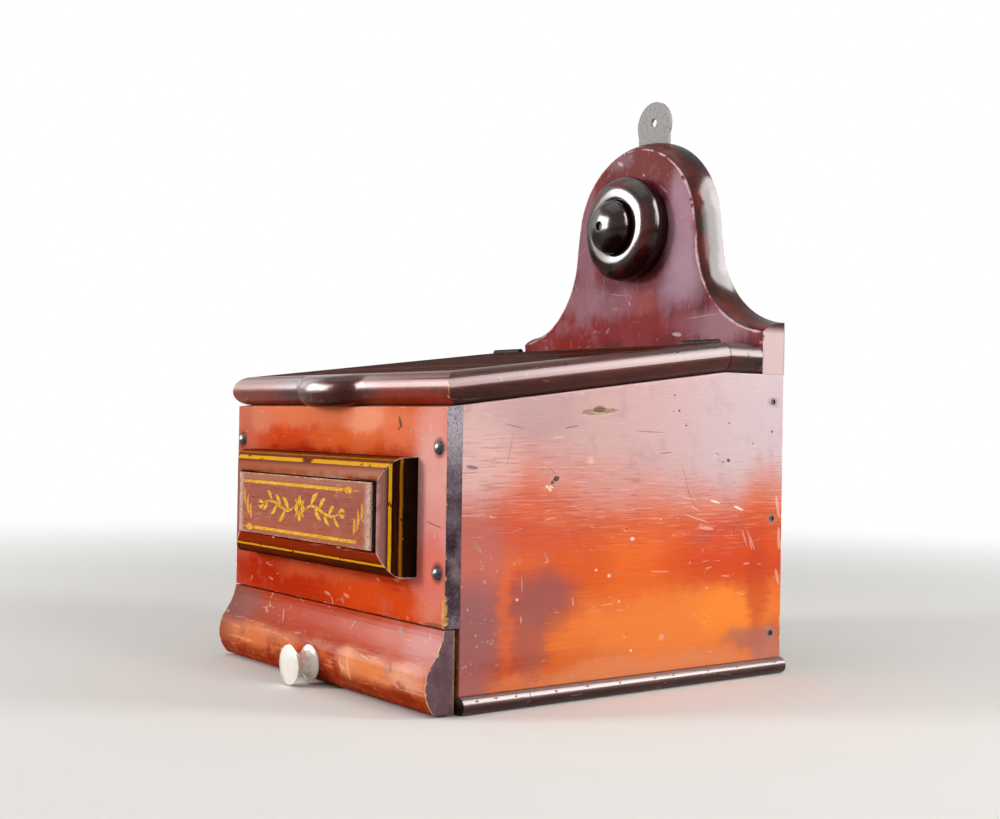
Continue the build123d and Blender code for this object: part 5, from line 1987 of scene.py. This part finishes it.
@dataclass
class Ornament:
    """Brush-painted borders, leaf sprays and a leafy scroll, as thin raised strokes on the tablet."""

    face_y: float
    middle_z: float
    thickness: float = 0.12
    steps: int = 14
    strokes: list[tuple[list[Pair], list[float]]] = field(default_factory=list)

    def stroke(self, path: Sequence[Pair], widths: Sequence[float]) -> None:
        """Add a brush stroke.

        Args:
            path: Places along it as x and z, at least two.
            widths: Half widths at its start, middle and end.
        """
        points, halves = [], []
        for step in range(self.steps + 1):
            along = step / self.steps
            points.append(self._bezier(path, along))
            if along < 0.5:
                halves.append(self._eased(widths[0], widths[1], 2 * along))
            else:
                halves.append(self._eased(widths[1], widths[2], 2 * along - 1))
        self.strokes.append((points, halves))

    @staticmethod
    def _eased(start: float, end: float, along: float) -> float:
        """Value between two, with a round approach to the wider one.

        Args:
            start: Where it starts.
            end: Where it ends.
            along: How far along, from 0 to 1.

        Returns:
            The value.
        """
        if start < end:
            return start + (end - start) * math.sin(along * math.pi / 2)
        return end + (start - end) * math.cos(along * math.pi / 2)

    @staticmethod
    def _bezier(path: Sequence[Pair], along: float) -> Pair:
        """Point of a Bezier curve of any degree.

        Args:
            path: Points that bend the curve.
            along: How far along, from 0 to 1.

        Returns:
            The point.
        """
        points = [Vector(point) for point in path]
        while len(points) > 1:
            points = [a.lerp(b, along) for a, b in zip(points, points[1:])]
        return (points[0].x, points[0].y)

    def borders(self) -> None:
        """Lines along the top and the foot, each ending in a spear."""
        line, bead = 0.75, 1.7
        for left, right, z, tip in ((-61.0, 41.0, 95.7, 1), (-47.5, 53.0, 72.6, -1)):
            self.stroke([(left, z), (right, z)], (line, line, line))
            end = right if tip > 0 else left
            self.stroke([(end + tip * 0.6, z), (end + tip * 9.0, z)], (0.3, bead, 0.1))
            self.stroke([(end + tip * 8.0, z), (end + tip * 14.0, z)], (0.35, 0.3, 0.1))

    def sprays(self) -> None:
        """Three leaves at each end of the tablet."""
        leaves = (
            [(50.2, 75.6), (52.0, 79.0), (50.8, 83.6)],
            [(53.0, 77.6), (55.6, 82.0), (53.8, 87.6)],
            [(56.6, 82.6), (58.6, 86.0), (57.2, 91.0)],
        )
        for path in leaves:
            self.stroke(path, (0.1, 1.25, 0.1))
            self.stroke([(-x, z + 1.2) for x, z in path], (0.1, 1.35, 0.1))

    def scroll(self) -> None:
        """Lozenge in the middle with a leafy stem to each side."""
        z = self.middle_z
        for dx, dz in ((1, 0), (-1, 0), (0, 1), (0, -1)):
            self.stroke([(1.0 * dx, z + 1.0 * dz), (5.4 * dx, z + 6.4 * dz)], (0.2, 1.9, 0.1))
        for turn in (1, -1):
            for tip in (1, -1):
                self.stroke([(turn * 1.6, z + tip * 1.6), (turn * 4.6, z + tip * 4.2)], (0.1, 0.6, 0.1))
        for side in (-1, 1):
            bends = ((6.5, 0.0), (15.0, 6.5), (25.0, -7.0), (38.0, 0.0))
            stem = [(side * out, z + side * lift) for out, lift in bends]
            self.stroke(stem, (0.5, 0.75, 0.25))
            for along, lift in ((0.16, 1), (0.30, -1), (0.44, 1), (0.58, -1), (0.72, 1), (0.86, -1)):
                x, root = self._bezier(stem, along)
                self.leaf((x, root), side, lift, 1.0 - 0.35 * along)
            for tip in (1, -1):
                bud = [(side * 37.0, z), (side * 40.0, z + tip * 2.6), (side * 42.5, z + tip * 0.6)]
                self.stroke(bud, (0.2, 0.9, 0.1))

    def leaf(self, root: Pair, side: int, lift: int, scale: float) -> None:
        """Curved leaf on the stem.

        Args:
            root: Where it leaves the stem.
            side: Which way the stem runs.
            lift: 1 above the stem, -1 below it.
            scale: Its size.
        """
        x, z = root
        bend = (x + side * 2.4 * scale, z + lift * 5.0 * scale)
        tip = (x + side * 7.2 * scale, z + lift * 6.6 * scale)
        self.stroke([root, bend, tip], (0.15, 1.55 * scale, 0.1))

    def build(self) -> bpy.types.Object:
        """Make the strokes one raised mesh on the tablet.

        Returns:
            The gilding.
        """
        self.borders()
        self.sprays()
        self.scroll()
        shape = bmesh.new()
        for points, halves in self.strokes:
            self._lay(shape, points, halves)
        bmesh.ops.recalc_face_normals(shape, faces=shape.faces)
        mesh = bpy.data.meshes.new("tablet_gilding")
        shape.to_mesh(mesh)
        shape.free()
        mesh.materials.append(GiltPaint("gilt_paint").material())
        gilding = bpy.data.objects.new("tablet_gilding", mesh)
        bpy.context.scene.collection.objects.link(gilding)
        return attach(gilding, "case")

    def _lay(self, shape: bmesh.types.BMesh, points: Sequence[Pair], halves: Sequence[float]) -> None:
        """Add one stroke's closed strip.

        Args:
            shape: Mesh that gathers the strokes.
            points: Places along the stroke.
            halves: Half width at each place.
        """
        rows = []
        last = len(points) - 1
        for index, ((x, z), half) in enumerate(zip(points, halves)):
            before, after = points[max(index - 1, 0)], points[min(index + 1, last)]
            way = Vector((after[0] - before[0], after[1] - before[1])).normalized()
            aside = Vector((-way.y, way.x)) * half
            corners = []
            for sign in (1, -1):
                for y in (self.face_y, self.face_y + self.thickness):
                    place = Vector((x + sign * aside.x, y, z + sign * aside.y)) * MM
                    corners.append(shape.verts.new(place))
            rows.append(corners)
        for (a, b, c, d), (e, f, g, h) in zip(rows, rows[1:]):
            for corners in ((a, c, g, e), (b, f, h, d), (a, e, f, b), (c, d, h, g)):
                shape.faces.new(corners)
        for a, b, c, d in (rows[0], rows[-1]):
            shape.faces.new((a, b, d, c))


@dataclass
class Drawer(SubAssembly):
    """Drawer front, box, knob and its small parts."""

    title: str = "drawer"
    end_profile: tuple[Pair, ...] = (
        (-107.0, 34.0), (-109.6, 27.5), (-113.4, 21.5), (-115.4, 16.0),
        (-115.6, 11.0), (-114.9, 6.5), (-113.2, 2.6),
    )

    def pieces(self) -> list[Piece]:
        """The dressed pieces.

        Returns:
            The pieces.
        """
        return [
            Piece("drawer_front", "drawer", "front_wood", DRAWER_WOOD, self.front_nicks(), RAW_CHIP),
            Piece("drawer_side_left", "drawer", "bare_wood", INNER_WOOD),
            Piece("drawer_side_right", "drawer", "bare_wood", INNER_WOOD),
            Piece("drawer_back", "drawer", "bare_wood", INNER_WOOD_ACROSS),
            Piece("drawer_bottom", "drawer", "bare_wood", INNER_WOOD),
            Piece("drawer_knob", "drawer", "glazed", GLAZE),
            Piece("knob_stud", "drawer", "brass", BRASS),
            Piece("drawer_brads", "drawer", "iron", IRON),
        ]

    def front_nicks(self) -> list[Nick]:
        """Chips down the right end and along the foot.

        Returns:
            The nicks.
        """
        nicks = []
        lot = random.Random(131)
        for index, (y, z) in enumerate(self.end_profile):
            size = lot.uniform(0.7, 1.25)
            nicks.append(Nick((HALF_WIDTH, y, z), (1.2 * size, size, 1.5 * size), 1310 + index))
            nicks.append(Nick((-HALF_WIDTH, y, z + 1.5), (0.7 * size, 0.6 * size, 0.9 * size), 1330 + index))
        foot = (-90.0, -112.4, 1.3), (90.0, -112.4, 1.3)
        return nicks + nicks_along(*foot, 9, (0.5, 0.9), 135, (2.0, 0.8, 0.8))


@dataclass
class Fittings(SubAssembly):
    """Boss, hanger, hinges and fasteners of the case and the lid."""

    title: str = "fittings"

    def pieces(self) -> list[Piece]:
        """The dressed pieces.

        Returns:
            The pieces.
        """
        made = [
            Piece("crest_boss", "case", "boss_wood", BOSS_WOOD),
            Piece("boss_screw", "case", "hanger_metal", STEEL),
            Piece("hanger_plate", "case", "hanger_metal", STEEL),
            Piece("hanger_screws", "case", "hanger_metal", STEEL),
            Piece("hinge_rail_screws", "case", "brass", BRASS),
            Piece("hinge_lid_screws", "lid", "brass", BRASS),
        ]
        for node in ("front_panel_pins", "side_brads", "base_nails", "rail_screws"):
            made.append(Piece(node, "case", "iron", IRON))
        for side in ("left", "right"):
            made.append(Piece(f"hinge_rail_leaf_{side}", "case", "brass", BRASS))
            made.append(Piece(f"hinge_pin_{side}", "case", "brass", BRASS))
            made.append(Piece(f"hinge_lid_leaf_{side}", "lid", "brass", BRASS))
        return made


# ---- studio --------------------------------------------------------------------------------------
@dataclass(frozen=True)
class Softbox:
    """Square lamp; as a card it only shows in polished surfaces and adds no light of its own."""

    name: str
    place: Triple
    aim: Triple
    size: Pair
    watts: float
    card: bool = False

    def light(self) -> None:
        """Hang the lamp."""
        lamp = bpy.data.lights.new(self.name, "AREA")
        lamp.shape = "RECTANGLE"
        lamp.size, lamp.size_y = self.size
        lamp.energy = self.watts
        holder = bpy.data.objects.new(self.name, lamp)
        holder.location = self.place
        holder.rotation_mode = "QUATERNION"
        holder.rotation_quaternion = (Vector(self.aim) - Vector(self.place)).to_track_quat("-Z", "Y")
        holder.visible_camera = False
        holder.visible_diffuse = not self.card
        bpy.context.scene.collection.objects.link(holder)


@dataclass(frozen=True)
class Studio:
    """Pale floor, plain soft light and the camera."""

    eye: Triple = (0.60255, -0.45338, 0.1283)
    yaw: float = math.radians(53.249)
    pitch: float = math.radians(0.46)
    roll: float = math.radians(0.904)
    lens: float = 51.0
    floor_reach: float = 12.0
    floor_tone: str = "dcdad6"
    ambient: float = 0.35
    softboxes: tuple[Softbox, ...] = (
        Softbox("box_front", (-0.62, -1.25, 0.52), (0, 0, 0.13), (0.3, 0.5), 12.5),
        Softbox("box_right_rear", (0.85, 0.80, 0.70), (0.1, 0, 0.14), (0.36, 0.7), 7.5),
        Softbox("box_right", (1.15, 0.10, 0.62), (0.1, 0, 0.14), (0.3, 0.45), 4.0),
        Softbox("box_overhead", (-0.2, -0.4, 1.7), (0, 0, 0.1), (1.4, 1.4), 8.0),
        Softbox("card_front", (-0.81, -1.05, 0.57), (0, 0, 0.16), (1.05, 0.66), 80.0, card=True),
        Softbox("card_left", (-1.14, -0.36, 0.66), (0, 0, 0.16), (0.8, 0.66), 5.0, card=True),
        Softbox("card_right", (0.90, 0.66, 0.84), (0.05, 0, 0.16), (1.1, 1.06), 88.0, card=True),
    )

    def camera(self) -> None:
        """Set up the camera."""
        level_part, rise = math.cos(self.pitch), math.sin(self.pitch)
        forward = Vector((-math.sin(self.yaw) * level_part, math.cos(self.yaw) * level_part, rise))
        level = Vector((math.cos(self.yaw), math.sin(self.yaw), 0.0))
        upright = level.cross(forward)
        right = level * math.cos(self.roll) + upright * math.sin(self.roll)
        up = upright * math.cos(self.roll) - level * math.sin(self.roll)
        view = bpy.data.cameras.new("camera")
        view.lens = self.lens
        view.clip_start = 0.02
        holder = bpy.data.objects.new("camera", view)
        turned = Matrix((right, up, -forward)).transposed().to_4x4()
        holder.matrix_world = Matrix.Translation(self.eye) @ turned
        bpy.context.scene.collection.objects.link(holder)
        bpy.context.scene.camera = holder

    def world(self) -> None:
        """Even surroundings, white to the camera and in reflections."""
        world = bpy.data.worlds.new("surroundings")
        bpy.context.scene.world = world
        nodes = Nodes(world)
        camera, through, polish = (
            nodes.node("ShaderNodeLightPath", {}, {}, ray)
            for ray in ("Is Camera Ray", "Is Transmission Ray", "Is Glossy Ray")
        )
        plain, bright = (
            nodes.node("ShaderNodeBackground", {}, {"Color": WHITE, "Strength": strength})
            for strength in (self.ambient, 1.0)
        )
        seen = camera.most(through).most(polish)
        blend = nodes.node("ShaderNodeMixShader", {}, {0: seen, 1: plain, 2: bright})
        nodes.close(blend, "ShaderNodeOutputWorld")

    def floor(self) -> None:
        """Lay the floor; far off it turns white to the camera, so that no horizon shows."""
        mesh = bpy.data.meshes.new("floor")
        reach = self.floor_reach
        corners = [(-reach, -reach, 0), (reach, -reach, 0), (reach, reach, 0), (-reach, reach, 0)]
        mesh.from_pydata(corners, [], [(0, 1, 2, 3)])
        board = bpy.data.objects.new("floor", mesh)
        bpy.context.scene.collection.objects.link(board)
        paint = Paint("floor")
        matte = paint.node("ShaderNodeBsdfDiffuse", {}, {"Color": shade(self.floor_tone)})
        glow = paint.node("ShaderNodeEmission", {}, {"Color": WHITE, "Strength": 1.0})
        away = paint.vector("LENGTH", paint.place)
        seen = paint.node("ShaderNodeLightPath", {}, {}, "Is Camera Ray")
        fade = away.smooth(330.0, 1150.0) * seen
        paint.close(paint.node("ShaderNodeMixShader", {}, {0: fade, 1: matte, 2: glow}))
        mesh.materials.append(paint.material)

    def build(self) -> None:
        """Set up the whole studio."""
        self.camera()
        self.world()
        self.floor()
        for softbox in self.softboxes:
            softbox.light()
        bpy.context.scene.view_settings.view_transform = "Standard"
        log.info("studio: camera, floor and %d lamps", len(self.softboxes))


def main() -> None:
    """Build the studio and every sub-assembly."""
    logging.basicConfig(level=logging.INFO, format="%(name)s %(message)s")
    Studio().build()
    for part in (Carcass(), Lid(), Plaque(), Drawer(), Fittings()):
        part.build()


if __name__ == "__main__":
    main()
